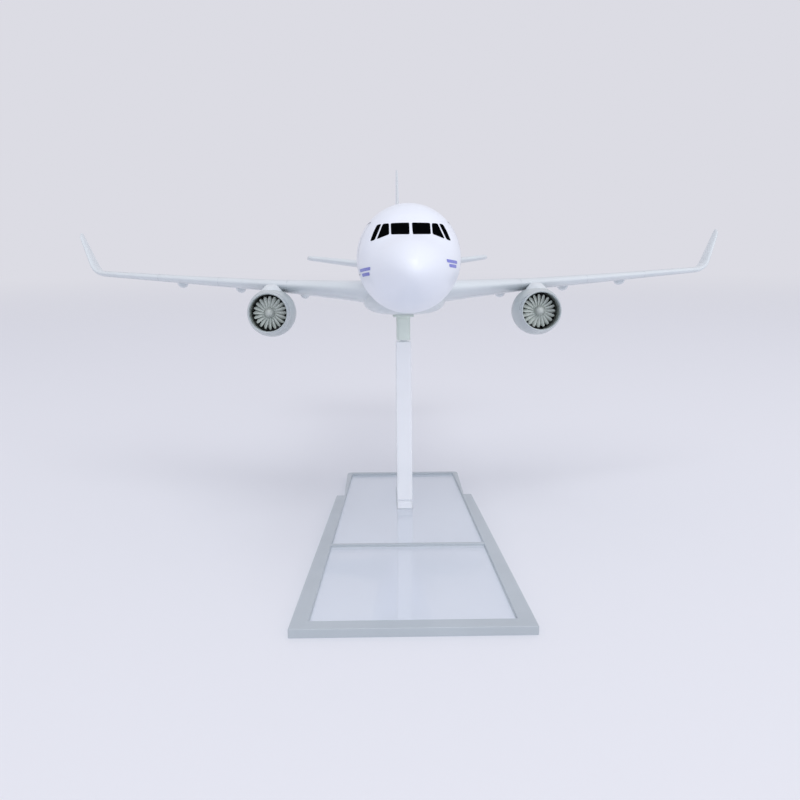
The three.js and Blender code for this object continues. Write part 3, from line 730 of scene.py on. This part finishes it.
def aerofoil(spec, steps=AEROFOIL_STEPS):
    ring = []
    for i in range(2 * steps):
        upper = i < steps
        turn = (i + 0.5 if upper else 2 * steps - i - 0.5) / steps
        ring.append(aerofoil_point(spec, (1 - math.cos(math.pi * turn)) / 2, upper))
    return ring


def section_spec(x, z, lead, chord, thick, tilt=0.0, incidence=0.0):
    """An aerofoil section in model millimetres from full-size metres."""
    return {"x": x * SCALE, "z": z * SCALE, "lead": station(lead), "chord": chord * SCALE,
            "thick": thick * SCALE, "tilt": tilt, "incidence": incidence}


def wing_spec(x):
    """The wing's section at a half span inboard of the upturned tip."""
    _, lead, chord, z, thick, degrees = row_at(WING, x)
    return section_spec(x, z, lead, chord, thick, DIHEDRAL, math.radians(degrees))


def sharklet_specs():
    """Sections round the bend and up the tip."""
    end, lead, chord, height, thick, _ = WING[-1]
    path = bezier((end, height), SHARKLET_BEND, SHARKLET_START, 14)
    path += [between(SHARKLET_START, SHARKLET_TIP, i / 8) for i in range(1, 9)]
    lengths = [0.0]
    for p, q in zip(path, path[1:]):
        lengths.append(lengths[-1] + math.dist(p, q))
    specs = []
    for i in range(1, len(path)):
        share = lengths[i] / lengths[-1]
        before, after = path[i - 1], path[min(i + 1, len(path) - 1)]
        heading = math.atan2(after[1] - before[1], after[0] - before[0])
        beyond = max((share - 1 + SHARKLET_ROUNDS) / SHARKLET_ROUNDS, 0)
        round_off = math.sqrt(max(1 - beyond ** 2 * 0.7, 0.1))
        swept = lerp(lead, SHARKLET_END["lead"], share) + (1 - round_off) * SHARKLET_END["chord"]
        specs.append(section_spec(*path[i], swept, lerp(chord, SHARKLET_END["chord"], share) * round_off,
                                  lerp(thick, SHARKLET_END["thick"], share) * round_off, heading))
    return specs


def canoe(x, length):
    """A flap-track fairing: a slim pod under the trailing edge, pointed at the back."""
    spec = wing_spec(x)
    rings = []
    for t in spread(0, 1, 20):
        fat = math.sin(math.pi * (t * 1.15) ** 0.9) if t < 0.5 else math.cos(math.pi * (t - 0.5))
        fat = max(fat, 0.02) ** 0.75
        y = spec["lead"] + spec["chord"] + (t - TRACK_FORE) * length * SCALE
        z = spec["z"] - 0.30 * spec["thick"] - 0.35 + (0.55 - t) * 0.25
        rings.append([(spec["x"] + TRACK_HALF_WIDTH * SCALE * fat * math.cos(a), y,
                       z + TRACK_HALF_HEIGHT * SCALE * fat * math.sin(a)) for a in angles_round(16)])
    return loft(rings)


def ribbon(left, right):
    """A thin printed strip between two rows of points."""
    return loft([left, right], closed=False, caps=False)


LINE = 0.13                      # width of the printed panel lines, millimetres
LINE_LIFT = 0.012                # how far they stand off the paint, millimetres
# Wing lines: chord share and the half spans it runs between; then half spans with the chord shares.
SPAN_LINES = [(0.16, 2.2, 16.0), (0.74, 2.2, 6.3), (0.73, 6.5, 12.6), (0.72, 12.8, 15.8), (0.62, 4.0, 12.4)]
CHORD_LINES = [(6.4, 0.74, 1.0), (12.7, 0.72, 1.0), (15.85, 0.72, 1.0), (5.6, 0, 0.16), (9.2, 0, 0.16),
               (12.6, 0, 0.16), (8.4, 0.62, 0.73), (10.4, 0.62, 0.73)]
TAIL_SPAN_LINES = [(0.68, 1.3, 6.1)]
TAIL_CHORD_LINES = [(6.1, 0.68, 1.0), (1.3, 0.68, 1.0)]


def surface_lines(spec_at, span_lines, chord_lines, mirror):
    """Strips for the lines along and across a wing, on both of its faces."""
    shells = []

    def point(x, c, upper):
        px, py, pz = aerofoil_point(spec_at(x), min(max(c, 0.001), 0.999), upper, LINE_LIFT)
        return (px * mirror, py, pz)

    for upper in (True, False):
        for c, start, end in span_lines:
            edges = [[point(x, c + side * LINE / spec_at(x)["chord"], upper) for x in spread(start, end, 30)]
                     for side in (-0.5, 0.5)]
            shells.append(ribbon(*edges))
        for x, first, last in chord_lines:
            edges = [[point(x + side * LINE / SCALE, c, upper) for c in spread(first, last, 12)]
                     for side in (-0.5, 0.5)]
            shells.append(ribbon(*edges))
    return shells


def wing_piece(side, mirror):
    xs = [lerp(WING[0][0], WING[1][0], 0.01)]
    for a, b in zip(WING, WING[1:]):
        xs += spread(a[0], b[0], 6)[1:]
    rings = [aerofoil(wing_spec(x)) for x in xs] + [aerofoil(spec) for spec in sharklet_specs()]
    shape = joined(loft(rings), *(canoe(x, length) for x, length in TRACKS))
    cast(f"wing_{side}_skin", mirrored(shape, mirror), [WING_GREY], CAST_SMOOTH,
         replaces=[f"wing_{side}"])
    lines = surface_lines(wing_spec, SPAN_LINES, CHORD_LINES, mirror)
    printed_on(f"wing_{side}_lines", lines, SOFT_LINE)


def mirrored(shape, mirror):
    """A shell on the port (1) or starboard (-1) side."""
    verts, faces = shape
    return [(x * mirror, y, z) for x, y, z in verts], faces


def tail_spec(x):
    """The tailplane's section at a half span."""
    _, lead, chord, z, thick = row_at(TAILPLANE, x)
    return section_spec(x, z, lead, chord, thick, TAIL_DIHEDRAL)


def tailplane_piece(side, mirror):
    root, outer, tip = (row[0] for row in TAILPLANE)
    xs = spread(root, outer, 14) + [6.40, 6.46, tip]
    shape = loft([aerofoil(tail_spec(x), TAIL_STEPS) for x in xs])
    cast(f"tailplane_{side}_skin", mirrored(shape, mirror), [WING_GREY], CAST_SMOOTH,
         replaces=[f"tailplane_{side}"])
    lines = surface_lines(tail_spec, TAIL_SPAN_LINES, TAIL_CHORD_LINES, mirror)
    printed_on(f"tailplane_{side}_lines", lines, SOFT_LINE)


def fin_spec(z):
    """The fin's section at a height, lying flat."""
    _, lead, chord, thick = row_at(FIN, z)
    return section_spec(0.0, 0.0, lead, chord, thick)


def fin_point(z, c, upper, lift):
    """A point on the port or starboard face of the fin."""
    _, y, x = aerofoil_point(fin_spec(z), c, upper, lift)
    return (x, y, z * SCALE)


def fin_paint(p):
    """Bare grey on the fin's leading edge, white behind it."""
    spec = fin_spec(p.z / SCALE)
    return 1 if (p.y - spec["lead"]) / spec["chord"] < FIN_EDGE else 0


def fin_piece():
    foot, outer, tip = FIN[0][0], FIN[-2][0], FIN[-1][0]
    heights = spread(foot, outer, 18) + [7.72, 7.82, tip]
    rings = [[(x, y, z * SCALE) for _, y, x in aerofoil(fin_spec(z), TAIL_STEPS)] for z in heights]
    cast("fin_skin", loft(rings), [WHITE, WING_GREY], CAST_SMOOTH,
         replaces=["fin"], slots_of=fin_paint)
    line = RUDDER_LINE
    rudder = spread(line["foot"], line["head"], 20)
    shells = []
    for upper in (True, False):
        edges = [[fin_point(z, line["at"] + s * line["wide"], upper, LINE_LIFT) for z in rudder]
                 for s in (-0.5, 0.5)]
        shells.append(ribbon(*edges))
    printed_on("rudder_line", shells, LINE_GREY)


# Blade antennas: station, height, length, on the spine (1) or under the belly (-1).
ANTENNAS = [(21.5, 0.42, 0.50, 1), (26.2, 0.32, 0.40, -1)]
ANTENNA_THICK = 0.10
ANTENNA_SWEEP = 0.22             # how far the tip lies behind the root
ANTENNA_TAPER = 0.55             # tip length as a share of the root's
ANTENNA_SUNK = 0.03              # how far the root reaches into the skin


def antenna_pieces():
    """Small swept blades on the spine and under the belly."""
    shells = []
    for at, tall, long, side in ANTENNAS:
        _, half_tall, middle = section(at)
        root = middle + side * (half_tall - ANTENNA_SUNK)
        rings = []
        for share in (0, 0.5, 0.9, 1.0):
            spec = section_spec(0.0, 0.0, at + share * ANTENNA_SWEEP,
                                lerp(long, long * ANTENNA_TAPER, share), ANTENNA_THICK)
            height = (root + side * tall * share) * SCALE
            rings.append([(x, y, height) for _, y, x in aerofoil(spec, 8)])
        shells.append(loft(rings))
    cast("blade_antennas", joined(*shells), [NACELLE_GREY], CAST_SMOOTH)


# ---------------------------------------------------------------- belly
# Belly fairing: station, half width, bottom.
FAIRING = [
    (10.7, 0.75, -1.96),
    (11.6, 1.50, -2.10),
    (12.8, 1.88, -2.18),
    (14.2, 1.97, -2.21),
    (19.2, 1.97, -2.21),
    (20.8, 1.84, -2.17),
    (22.0, 1.48, -2.09),
    (23.0, 0.75, -1.96),
]
FAIRING_TOP = -0.55
FAIRING_POWER = 3
# Socket, tang and screws, in millimetres: half lengths along the fuselage, heights above its axis.
SOCKET = {"half": 5.6, "bottom": -14.9, "flange": -10.0, "top": -5.6, "x": 1.45, "flange_x": 2.2,
          "flange_half": 6.4, "corner": 0.9, "flange_corner": 0.7, "round": 0.12}
TANG = {"thick": 1.2, "half": 4.1, "bottom": -15.2, "top": -8.6}
SCREW_STATIONS = (13.1, 20.3)
SCREW = {"shank": 0.8, "head": 1.5, "bottom": -9.2, "under": -8.3, "tip": 1.5, "round": 0.22}
SCREW_SLOT = {"half_long": 1.0, "half_wide": 0.16, "deep": 0.45}
BELOW = -14                      # cuts from below start here
GAP = 0.3                        # between pieces that fit into one another
OVERLAP = 0.1                    # how far shells reach into one another before they are joined


def fairing_piece():
    """The fairing, opened for the socket's flange and the screw heads."""
    rings = []
    steps, sides = 48, 72
    for i in range(steps + 1):
        at = lerp(FAIRING[0][0], FAIRING[-1][0], (1 - math.cos(math.pi * i / steps)) / 2)
        half, bottom = along(FAIRING, 1, at), along(FAIRING, 2, at)
        middle, tall = (FAIRING_TOP + bottom) / 2, (FAIRING_TOP - bottom) / 2
        ring = []
        for angle in angles_round(sides):
            x = half * boxy(math.cos(angle))
            z = middle + tall * boxy(math.sin(angle))
            ring.append((x * SCALE, station(at), z * SCALE))
        rings.append(ring)
    obj = cast("belly_fairing_skin", loft(rings), [WING_GREY], replaces=["belly_fairing"])
    wide, long = SOCKET["flange_x"] + GAP, SOCKET["flange_half"] + GAP
    cutters = [block((-wide, -long, BELOW), (wide, long, SOCKET["top"] + GAP))]
    for at in SCREW_STATIONS:
        cutters.append(upright(SCREW["head"] + GAP, station(at), BELOW, SCREW["under"] + GAP))
    carve(obj, cutters, AIRCRAFT)
    shade(obj, SMOOTH)


def tang_slot(low):
    """The space round the blade's top tang, open below."""
    wide, long = TANG["thick"] / 2 + GAP, TANG["half"] + GAP
    return block((-wide, -long, low), (wide, long, TANG["top"] + GAP))


def boxy(value):
    """A sine or cosine swollen so that a round section becomes a rounded box."""
    return math.copysign(abs(value) ** (2 / FAIRING_POWER), value)


def upright(radius, y, low, high, sides=48):
    """A round bar standing along Z on the middle plane."""
    outline = [(radius * math.cos(a), y + radius * math.sin(a)) for a in angles_round(sides)]
    return prism(outline, low, high)


def socket_piece():
    """The lug, its flange inside the fairing and its slot for the blade's tang."""
    s = SOCKET
    lug = rounded_corners(rectangle(s["x"], s["half"]), s["corner"], 6)
    seat = rounded_corners(rectangle(s["flange_x"], s["flange_half"]), s["flange_corner"], 6)
    lug = prism(lug, s["bottom"], s["flange"] + OVERLAP)
    seat = prism(seat, s["flange"], s["top"])
    obj = cast("stand_socket_body", lug, [SOCKET_GREY], replaces=["stand_socket"])
    carve(obj, [seat], AIRCRAFT, join=True)
    carve(obj, [tang_slot(s["bottom"] - 1)], AIRCRAFT)
    rounded(obj, s["round"])


def rectangle(half_x, half_y):
    return [(-half_x, -half_y), (half_x, -half_y), (half_x, half_y), (-half_x, half_y)]


def screw_pieces():
    """Two screws with domed cross-slotted heads."""
    long, wide = SCREW_SLOT["half_long"], SCREW_SLOT["half_wide"]
    roof = SCREW["bottom"] + SCREW_SLOT["deep"]
    for name, at in zip(("belly_screw_front", "belly_screw_rear"), SCREW_STATIONS):
        y = station(at)
        head = upright(SCREW["head"], y, SCREW["bottom"], SCREW["under"])
        obj = cast(f"{name}_head", head, [STEEL], replaces=[name])
        rounded(obj, SCREW["round"])
        carve(obj, [upright(SCREW["shank"], y, SCREW["under"] - OVERLAP, SCREW["tip"])], AIRCRAFT, join=True)
        for x, half in ((long, wide), (wide, long)):
            carve(obj, [block((-x, y - half, BELOW), (x, y + half, roof))], AIRCRAFT)
        flattened(obj, 30)


# ---------------------------------------------------------------- engines
# Radii and depths behind the lip, in millimetres; profiles are (radius, depth) pairs.
BLADES = 20
HUB_RADIUS = 1.1
FAN_RADIUS = 3.26
FAN_FRONT = 2.6
FAN_BACK = 4.4
# The fan blade from hub to tip: lean in degrees, half chord, thickness, bow, sweep and rounded tip.
BLADE = {"lean": (26, 50), "half": (0.74, 0.52), "swell": 0.1, "thick": (0.15, 0.07), "bow": 0.10,
         "sweep": 0.16, "round_from": 0.7, "sunk": 0.2}
SPINNER = {"front": 1.05, "gap": 0.06, "skirt": 0.2, "bore": 0.65, "recess": 0.3}
PIN_RADIUS = 0.35
PIN = {"front": 2.4, "back": 9.5, "rounding": 0.06}
VANES = 26
# A guide vane: inner radius, depth of its front, length, half thickness and skew per millimetre of radius.
VANE = {"root": 1.9, "front": 5.3, "long": 2.4, "half": 0.11, "skew": 0.40}
CASE_RADIUS = 3.78
COWL_FRONT = 1.64
LIP = [(CASE_RADIUS, 1.62), (3.60, 1.0), (3.60, 0.45), (3.68, 0.1), (3.80, 0), (3.91, 0.09),
       (4.00, 0.4), (4.10, 1.0), (4.18, 1.62)]
COWL_OUTSIDE = [(4.23, 1.9), (4.60, 3.7), (4.82, 6), (4.74, 8.2), (4.40, 10.8), (4.0, 13.5), (3.6, 15.8)]
COWL_INSIDE = [(3.35, 15.8), (3.60, 13), (CASE_RADIUS, 9), (CASE_RADIUS, 1.9)]
CORE = [(0.5, 4.9), (2.1, 4.9), (2.4, 8), (2.4, 12), (2.05, 16), (1.75, 18.3), (1.5, 18.3), (1.75, 15),
        (1.75, 11), (0.5, 11)]
PLUG = [(0.01, 11.4), (1.4, 11.4), (1.4, 13.5), (1.15, 16.5), (0.7, 19.2), (0.12, 21.2), (0.01, 21.2)]


def groove(profile, depth, width=0.09, deep=0.07):
    """Cuts a narrow ring groove into an outside profile at a depth along the engine."""
    result = []
    for (r0, d0), (r1, d1) in zip(profile, profile[1:]):
        result.append((r0, d0))
        if d0 < depth - width and d1 > depth + width:
            def radius(d, r0=r0, d0=d0, r1=r1, d1=d1):
                return lerp(r0, r1, (d - d0) / (d1 - d0))
            floor = radius(depth) - deep
            result += [(radius(depth - width), depth - width), (floor, depth - width * 0.7),
                       (floor, depth + width * 0.7), (radius(depth + width), depth + width)]
    return result + [profile[-1]]


def engine_piece(name, shape, side, body, materials, node, sharp=SMOOTH, paint=None):
    """A piece of one engine, in millimetres from the middle of the lip."""
    mirror = 1 if side == "port" else -1
    place = AIRCRAFT @ Matrix.Translation((ENGINE["x"] * mirror, LIP_Y, ENGINE["z"]))
    build(f"{name}_{side}", shape, place, body, materials, sharp, [f"{node}_{side}"], paint)


def spokes(shape, count):
    """Copies of a shell spaced evenly round the engine's axis."""
    verts, faces = shape
    shells = []
    for angle in angles_round(count):
        turn = Matrix.Rotation(angle, 4, "Y")
        shells.append(([turn @ Vector(v) for v in verts], faces))
    return shells


def cowl_pieces(side):
    """The lip ring and the cowl behind it, both painted darker inside the fan's case as painted shade for the
    shadow in the duct.
    """
    engine_piece("intake_lip_ring", turned(smooth_rows(LIP, 5)), side, "aircraft",
                 [LIP_GREY, CASE_PAINTED_SHADE], "intake_lip",
                 paint=lambda p: int(math.hypot(p.x, p.z) < 3.9 and p.y > 1.25))
    outside = groove(smooth_rows([(4.185, COWL_FRONT), *COWL_OUTSIDE], 8), 7.6)
    profile = [*outside, *COWL_INSIDE[:-1], (CASE_RADIUS, COWL_FRONT)]
    engine_piece("nacelle_cowl_skin", turned(profile), side, "aircraft",
                 [NACELLE_GREY, CASE_PAINTED_SHADE], "nacelle_cowl",
                 paint=lambda p: int(math.hypot(p.x, p.z) < CASE_RADIUS + 0.01 and p.y < 13))


def core_pieces(side):
    """The core with its guide vanes, the plug in its nozzle and the fan's pin."""
    nozzle = [*CORE[:2], *smooth_rows(CORE[1:6], 6)[1:], *CORE[6:]]
    core = joined(turned(nozzle, 64), *spokes(guide_vane(), VANES))
    engine_piece("engine_core_body", core, side, "aircraft", [DARK_GREY], "engine_core")
    engine_piece("exhaust_plug_cone", turned(smooth_rows(PLUG, 6), 64), side, "aircraft",
                 [DARK_GREY], "exhaust_plug", 40)
    front, back, rounding = PIN["front"], PIN["back"], PIN["rounding"]
    pin = [(ON_AXIS, front), (PIN_RADIUS - rounding, front), (PIN_RADIUS, front + rounding),
           (PIN_RADIUS, back - rounding), (PIN_RADIUS - rounding, back), (ON_AXIS, back)]
    engine_piece("fan_pin_steel", turned(pin, 32), side, "aircraft", [STEEL], "fan_pin")


def guide_vane():
    """One curved outlet guide vane between the core and the cowl."""
    rings = []
    for i in range(4):
        radius = lerp(VANE["root"], CASE_RADIUS + 0.02, i / 3)
        ring = []
        for c, side in ((0, 0.0), (0.5, VANE["half"]), (1, 0.02), (0.5, -VANE["half"])):
            ring.append((side + VANE["skew"] * radius * (1 - c), VANE["front"] + VANE["long"] * c, radius))
        rings.append(ring)
    return loft(rings)


def fan_blade():
    """A twisted, swept blade with a lens section, from the hub to the tip."""
    rings = []
    sections, half_points = 12, 6
    middle = (FAN_FRONT + FAN_BACK) / 2
    for i in range(sections):
        share = i / (sections - 1)
        arch = math.sin(math.pi * share)
        radius = lerp(HUB_RADIUS - BLADE["sunk"], FAN_RADIUS, share)
        lean = math.radians(lerp(*BLADE["lean"], share ** 0.85))
        beyond = max((share - BLADE["round_from"]) / (1 - BLADE["round_from"]), 0)
        round_tip = math.sqrt(max(1 - beyond ** 2 * 0.75, 0.1))
        root, tip = BLADE["half"]
        half = (root * (1 - BLADE["swell"] * (1 - arch)) - (root - tip) * share) * round_tip
        thick = lerp(*BLADE["thick"], share)
        ring = []
        for k in range(2 * half_points):
            angle = math.pi * k / half_points
            run = half * math.cos(angle)
            side = thick * math.sin(angle) + BLADE["bow"] * math.sin(angle) ** 2
            ring.append((run * math.sin(lean) + side * math.cos(lean) + BLADE["sweep"] * arch,
                         middle + run * math.cos(lean) - side * math.sin(lean), radius))
        rings.append(ring)
    return loft(rings)


def fan_pieces(side):
    """The fan with its hub, and the spinner on it; both turn on the rotor body."""
    body = f"fan_rotor_{side}"
    bore = PIN_RADIUS + 0.08
    hub = [(bore, FAN_FRONT), (HUB_RADIUS - 0.08, FAN_FRONT), (HUB_RADIUS, FAN_FRONT + 0.08),
           (HUB_RADIUS + 0.12, FAN_BACK - 0.05), (HUB_RADIUS + 0.05, FAN_BACK), (bore, FAN_BACK)]
    fan = joined(turned(hub, 60), *spokes(fan_blade(), BLADES))
    engine_piece("fan_blades", fan, side, body, [FAN_GREY], "fan", 40)
    back = FAN_FRONT - SPINNER["gap"]
    skirt = back - SPINNER["skirt"]
    dome = []
    for i in range(13):
        angle = math.pi / 2 * i / 12
        dome.append((max(HUB_RADIUS * math.sin(angle), ON_AXIS),
                     skirt - (skirt - SPINNER["front"]) * math.cos(angle)))
    floor = back - SPINNER["recess"]
    dome += [(HUB_RADIUS - 0.02, back), (SPINNER["bore"], back), (SPINNER["bore"], floor), (ON_AXIS, floor)]
    engine_piece("spinner_dome", turned(dome, 64), side, body, [SPINNER_GREY], "spinner")


# Pylon: depth, half width at the foot, at the top, foot height, top height.
PYLON = [
    (2.9, 0.80, 0.25, -4.9, -4.25),
    (4.2, 1.90, 0.70, -4.7, -3.60),
    (6.0, 2.30, 0.95, -4.6, -3.20),
    (7.6, 2.10, 0.90, -4.6, -3.10),
    (9.5, 1.20, 0.75, -5.0, -3.35),
    (11.5, 0.65, 0.60, -6.2, -3.50),
    (16.6, 0.65, 0.60, -6.6, -3.50),
    (21.0, 0.65, 0.50, -5.3, -3.60),
    (22.5, 0.40, 0.30, -4.9, -4.00),
]


def pylon_piece(side, mirror):
    """The pylon: a saddle on the cowl's crown that runs back as a slim fin under the wing."""
    rings = []
    for depth, foot, crown, low, high in smooth_rows(PYLON, 5):
        y = LIP_Y + depth
        edge = rounded_corners([(foot, low), (crown, high), (-crown, high), (-foot, low)], min(crown, 0.5), 4)
        rings.append([(ENGINE["x"] * mirror + x, y, z) for x, z in edge])
    cast(f"pylon_{side}_skin", loft(rings), [WING_GREY], CAST_SMOOTH,
         replaces=[f"pylon_{side}"])


# ---------------------------------------------------------------- stand
# Places along the base, half widths and heights above the table, in millimetres.
BASE = {"front": -42.5, "back": 42.5, "step": 24, "front_half": 19.0, "step_half": 15.2, "rear_half": 13.5,
        "corner": 1.2, "rim": 1.5, "panel": 1.0, "round": 0.14}
BAY = {"front": -39.7, "front_half": 16.1, "back": 41.4, "back_half": 12.3}
RIB = {"y": -6.9, "width": 0.8}
BOSS = {"x": 1.65, "front": 15.3, "back": 31.5, "top": 2.5, "sunk": 0.2}
FOOT = {"front": 17.2, "back": 29.4, "bottom": 0.8, "thick": 1.4}
BLADE_THICK = 3.3
BLADE_ROUND = 0.35
BLADE_FOOT = (15.5, 31.3)        # front and back edges where they meet the boss
BLADE_BENDS = ((18.4, 18), (30.2, 17))   # pull points of the two hollow edges
SHOULDER_HALF = 5.4
TANG_ROOT = 0.5                  # how far a tang's root reaches into the blade


def bay(front, back):
    """The recess over the panel between two places along the base."""
    def half(y):
        return lerp(BAY["front_half"], BAY["back_half"], (y - BAY["front"]) / (BAY["back"] - BAY["front"]))
    outline = [(-half(front), front), (half(front), front), (half(back), back), (-half(back), back)]
    return prism(outline, BASE["panel"], BASE["rim"] + 1)


def base_piece():
    """The tray: a tapered plate with a narrower rear part, two bays and the slotted boss."""
    b = BASE
    right = [(b["front_half"], b["front"]), (b["step_half"], b["step"]), (b["rear_half"], b["step"])]
    right += bezier((b["rear_half"], b["back"] - b["corner"]), (b["rear_half"], b["back"]),
                    (b["rear_half"] - b["corner"], b["back"]), 5)
    outline = right + [(-x, y) for x, y in reversed(right)]
    obj = build("display_base_tray", prism(outline, 0, b["rim"]), STAND, "base", [CLEAR],
                replaces=["display_base"])
    rib_front, rib_back = RIB["y"] - RIB["width"] / 2, RIB["y"] + RIB["width"] / 2
    carve(obj, [bay(BAY["front"], rib_front), bay(rib_back, BAY["back"])], STAND)
    boss = block((-BOSS["x"], BOSS["front"], b["panel"] - BOSS["sunk"]),
                 (BOSS["x"], BOSS["back"], BOSS["top"]))
    carve(obj, [boss], STAND, join=True)
    wide = FOOT["thick"] / 2 + GAP
    slot = block((-wide, FOOT["front"] - GAP, FOOT["bottom"] - GAP),
                 (wide, FOOT["back"] + GAP, BOSS["top"] + 1))
    carve(obj, [slot], STAND)
    rounded(obj, b["round"])
    mesh = obj.data
    # The rim, rib and outer walls take the grey of painted shade; the boss takes the whitish painted sheen.
    mesh.materials.append(RIM_PAINTED_SHADE)
    mesh.materials.append(MILKY_PAINTED_SHEEN)
    for polygon in mesh.polygons:
        polygon.material_index = tray_zone(STAND.inverted() @ polygon.center, polygon.normal)


def tray_zone(p, normal):
    """0 on the clear panel and the underside, 1 on the rim, rib and outer walls (painted shade), 2 on the
    boss (painted sheen).
    """
    if abs(normal.z) > 0.99 and p.z < BASE["panel"] + 0.01:
        return 0
    on_boss = abs(p.x) < BOSS["x"] + 0.01 and BOSS["front"] - 0.01 < p.y < BOSS["back"] + 0.01
    return 2 if on_boss else 1


def lean(y, z):
    """Aircraft y and z to the stand's y and z, in millimetres."""
    point = AIRCRAFT @ Vector((0, y, z))
    return (point.y / MM, point.z / MM)


def blade_piece():
    """The blade with hollow front and back edges and a tang at each end."""
    foot = BOSS["top"] + GAP
    near, far = BLADE_FOOT
    front_bend, back_bend = BLADE_BENDS
    front = bezier((near, foot), front_bend, lean(-SHOULDER_HALF, TANG["bottom"]), 24)
    back = bezier(lean(SHOULDER_HALF, TANG["bottom"]), back_bend, (far, foot), 24)
    # The blade's part-diffuse white is painted sheen.
    obj = build("stand_blade_body", plate(front + back, BLADE_THICK), STAND, "blade",
                [MILKY_PAINTED_SHEEN], replaces=["stand_blade"])
    half, root = TANG["half"], TANG["bottom"] - TANG_ROOT
    top = plate([lean(-half, root), lean(half, root), lean(half, TANG["top"]), lean(-half, TANG["top"])],
                TANG["thick"])
    low = plate([(FOOT["front"], FOOT["bottom"]), (FOOT["back"], FOOT["bottom"]),
                 (FOOT["back"], foot + TANG_ROOT), (FOOT["front"], foot + TANG_ROOT)], FOOT["thick"])
    carve(obj, [top, low], STAND, join=True)
    rounded(obj, BLADE_ROUND)


# ---------------------------------------------------------------- studio
BACKDROP = (0.715, 0.715, 0.775)
FLOOR_DROP = 0.0001              # keeps the table top clear of the tray's underside
FLOOR_FADE = (0.25, 1.1)         # distances over which the floor turns into the background
FLOOR_HALF = 12
# Soft lights: name, place, target, width and height in metres, watts.
LIGHTS = [
    ("key", (0.12, -0.42, 0.80), (0, 0, 0.03), (0.6, 0.6), 2.1),
    ("front", (0.42, -0.74, 0.34), (0, 0, 0.05), (1.1, 0.5), 1.45),
]
# Place in millimetres, angles in degrees, focal length in millimetres.
CAMERA = {"place": (-3.8, -163.4, 60.5), "yaw": 0.92, "pitch": 11.23, "roll": -0.36, "lens": 38.87}


def studio():
    """A pale seamless floor whose far part glows like the background, under soft lights."""
    bpy.context.scene.view_settings.view_transform = "Standard"
    world = bpy.data.worlds.new("studio")
    bpy.context.scene.world = world
    world.use_nodes = True
    set_sockets(world.node_tree.nodes["Background"], Color=(*BACKDROP, 1), Strength=1.0)

    bm = bmesh.new()
    bmesh.ops.create_grid(bm, x_segments=1, y_segments=1, size=FLOOR_HALF)
    mesh = bpy.data.meshes.new("studio_floor")
    bm.to_mesh(mesh)
    bm.free()
    floor = bpy.data.objects.new("studio_floor", mesh)
    bpy.context.scene.collection.objects.link(floor)
    floor.location.z = -FLOOR_DROP
    material, node = shader("studio_floor", (0.80, 0.81, 0.85), 0.6)
    mesh.materials.append(material)
    links = material.node_tree.links
    far = add(material, "VectorMath")
    far.operation = "LENGTH"
    fade = add(material, "MapRange", From_Min=FLOOR_FADE[0], From_Max=FLOOR_FADE[1])
    fade.interpolation_type = "SMOOTHSTEP"
    links.new(add(material, "TexCoord").outputs["Object"], far.inputs[0])
    links.new(far.outputs["Value"], fade.inputs["Value"])
    glow = add(material, "Emission", Color=(*BACKDROP, 1))
    mixed(material, fade.outputs["Result"], node.outputs["BSDF"], glow.outputs["Emission"])


def area_light(name, place, target, size, watts):
    data = bpy.data.lights.new(name, "AREA")
    data.shape = "RECTANGLE"
    data.size, data.size_y = size
    data.energy = watts
    lamp = bpy.data.objects.new(name, data)
    lamp.location = place
    lamp.rotation_euler = (Vector(target) - Vector(place)).to_track_quat("-Z", "Y").to_euler()
    bpy.context.scene.collection.objects.link(lamp)


def camera():
    """A camera ahead of the nose, a little above it, rolled a fraction of a degree."""
    data = bpy.data.cameras.new("camera")
    data.lens = CAMERA["lens"]
    data.clip_start = 0.005
    obj = bpy.data.objects.new("camera", data)
    obj.location = Vector(CAMERA["place"]) * MM
    yaw, pitch, roll = (math.radians(CAMERA[key]) for key in ("yaw", "pitch", "roll"))
    aim = Matrix.Rotation(-yaw, 4, "Z") @ Matrix.Rotation(math.pi / 2 - pitch, 4, "X")
    obj.rotation_euler = (aim @ Matrix.Rotation(roll, 4, "Z")).to_euler()
    bpy.context.scene.collection.objects.link(obj)
    bpy.context.scene.camera = obj


# ---------------------------------------------------------------- assembly
camera()
fuselage_piece()
cockpit_windows()
side_prints()
fin_piece()
antenna_pieces()
fairing_piece()
socket_piece()
screw_pieces()
for side, mirror in (("port", 1), ("starboard", -1)):
    wing_piece(side, mirror)
    tailplane_piece(side, mirror)
    cowl_pieces(side)
    core_pieces(side)
    fan_pieces(side)
    pylon_piece(side, mirror)
base_piece()
blade_piece()
studio()
for light in LIGHTS:
    area_light(*light)
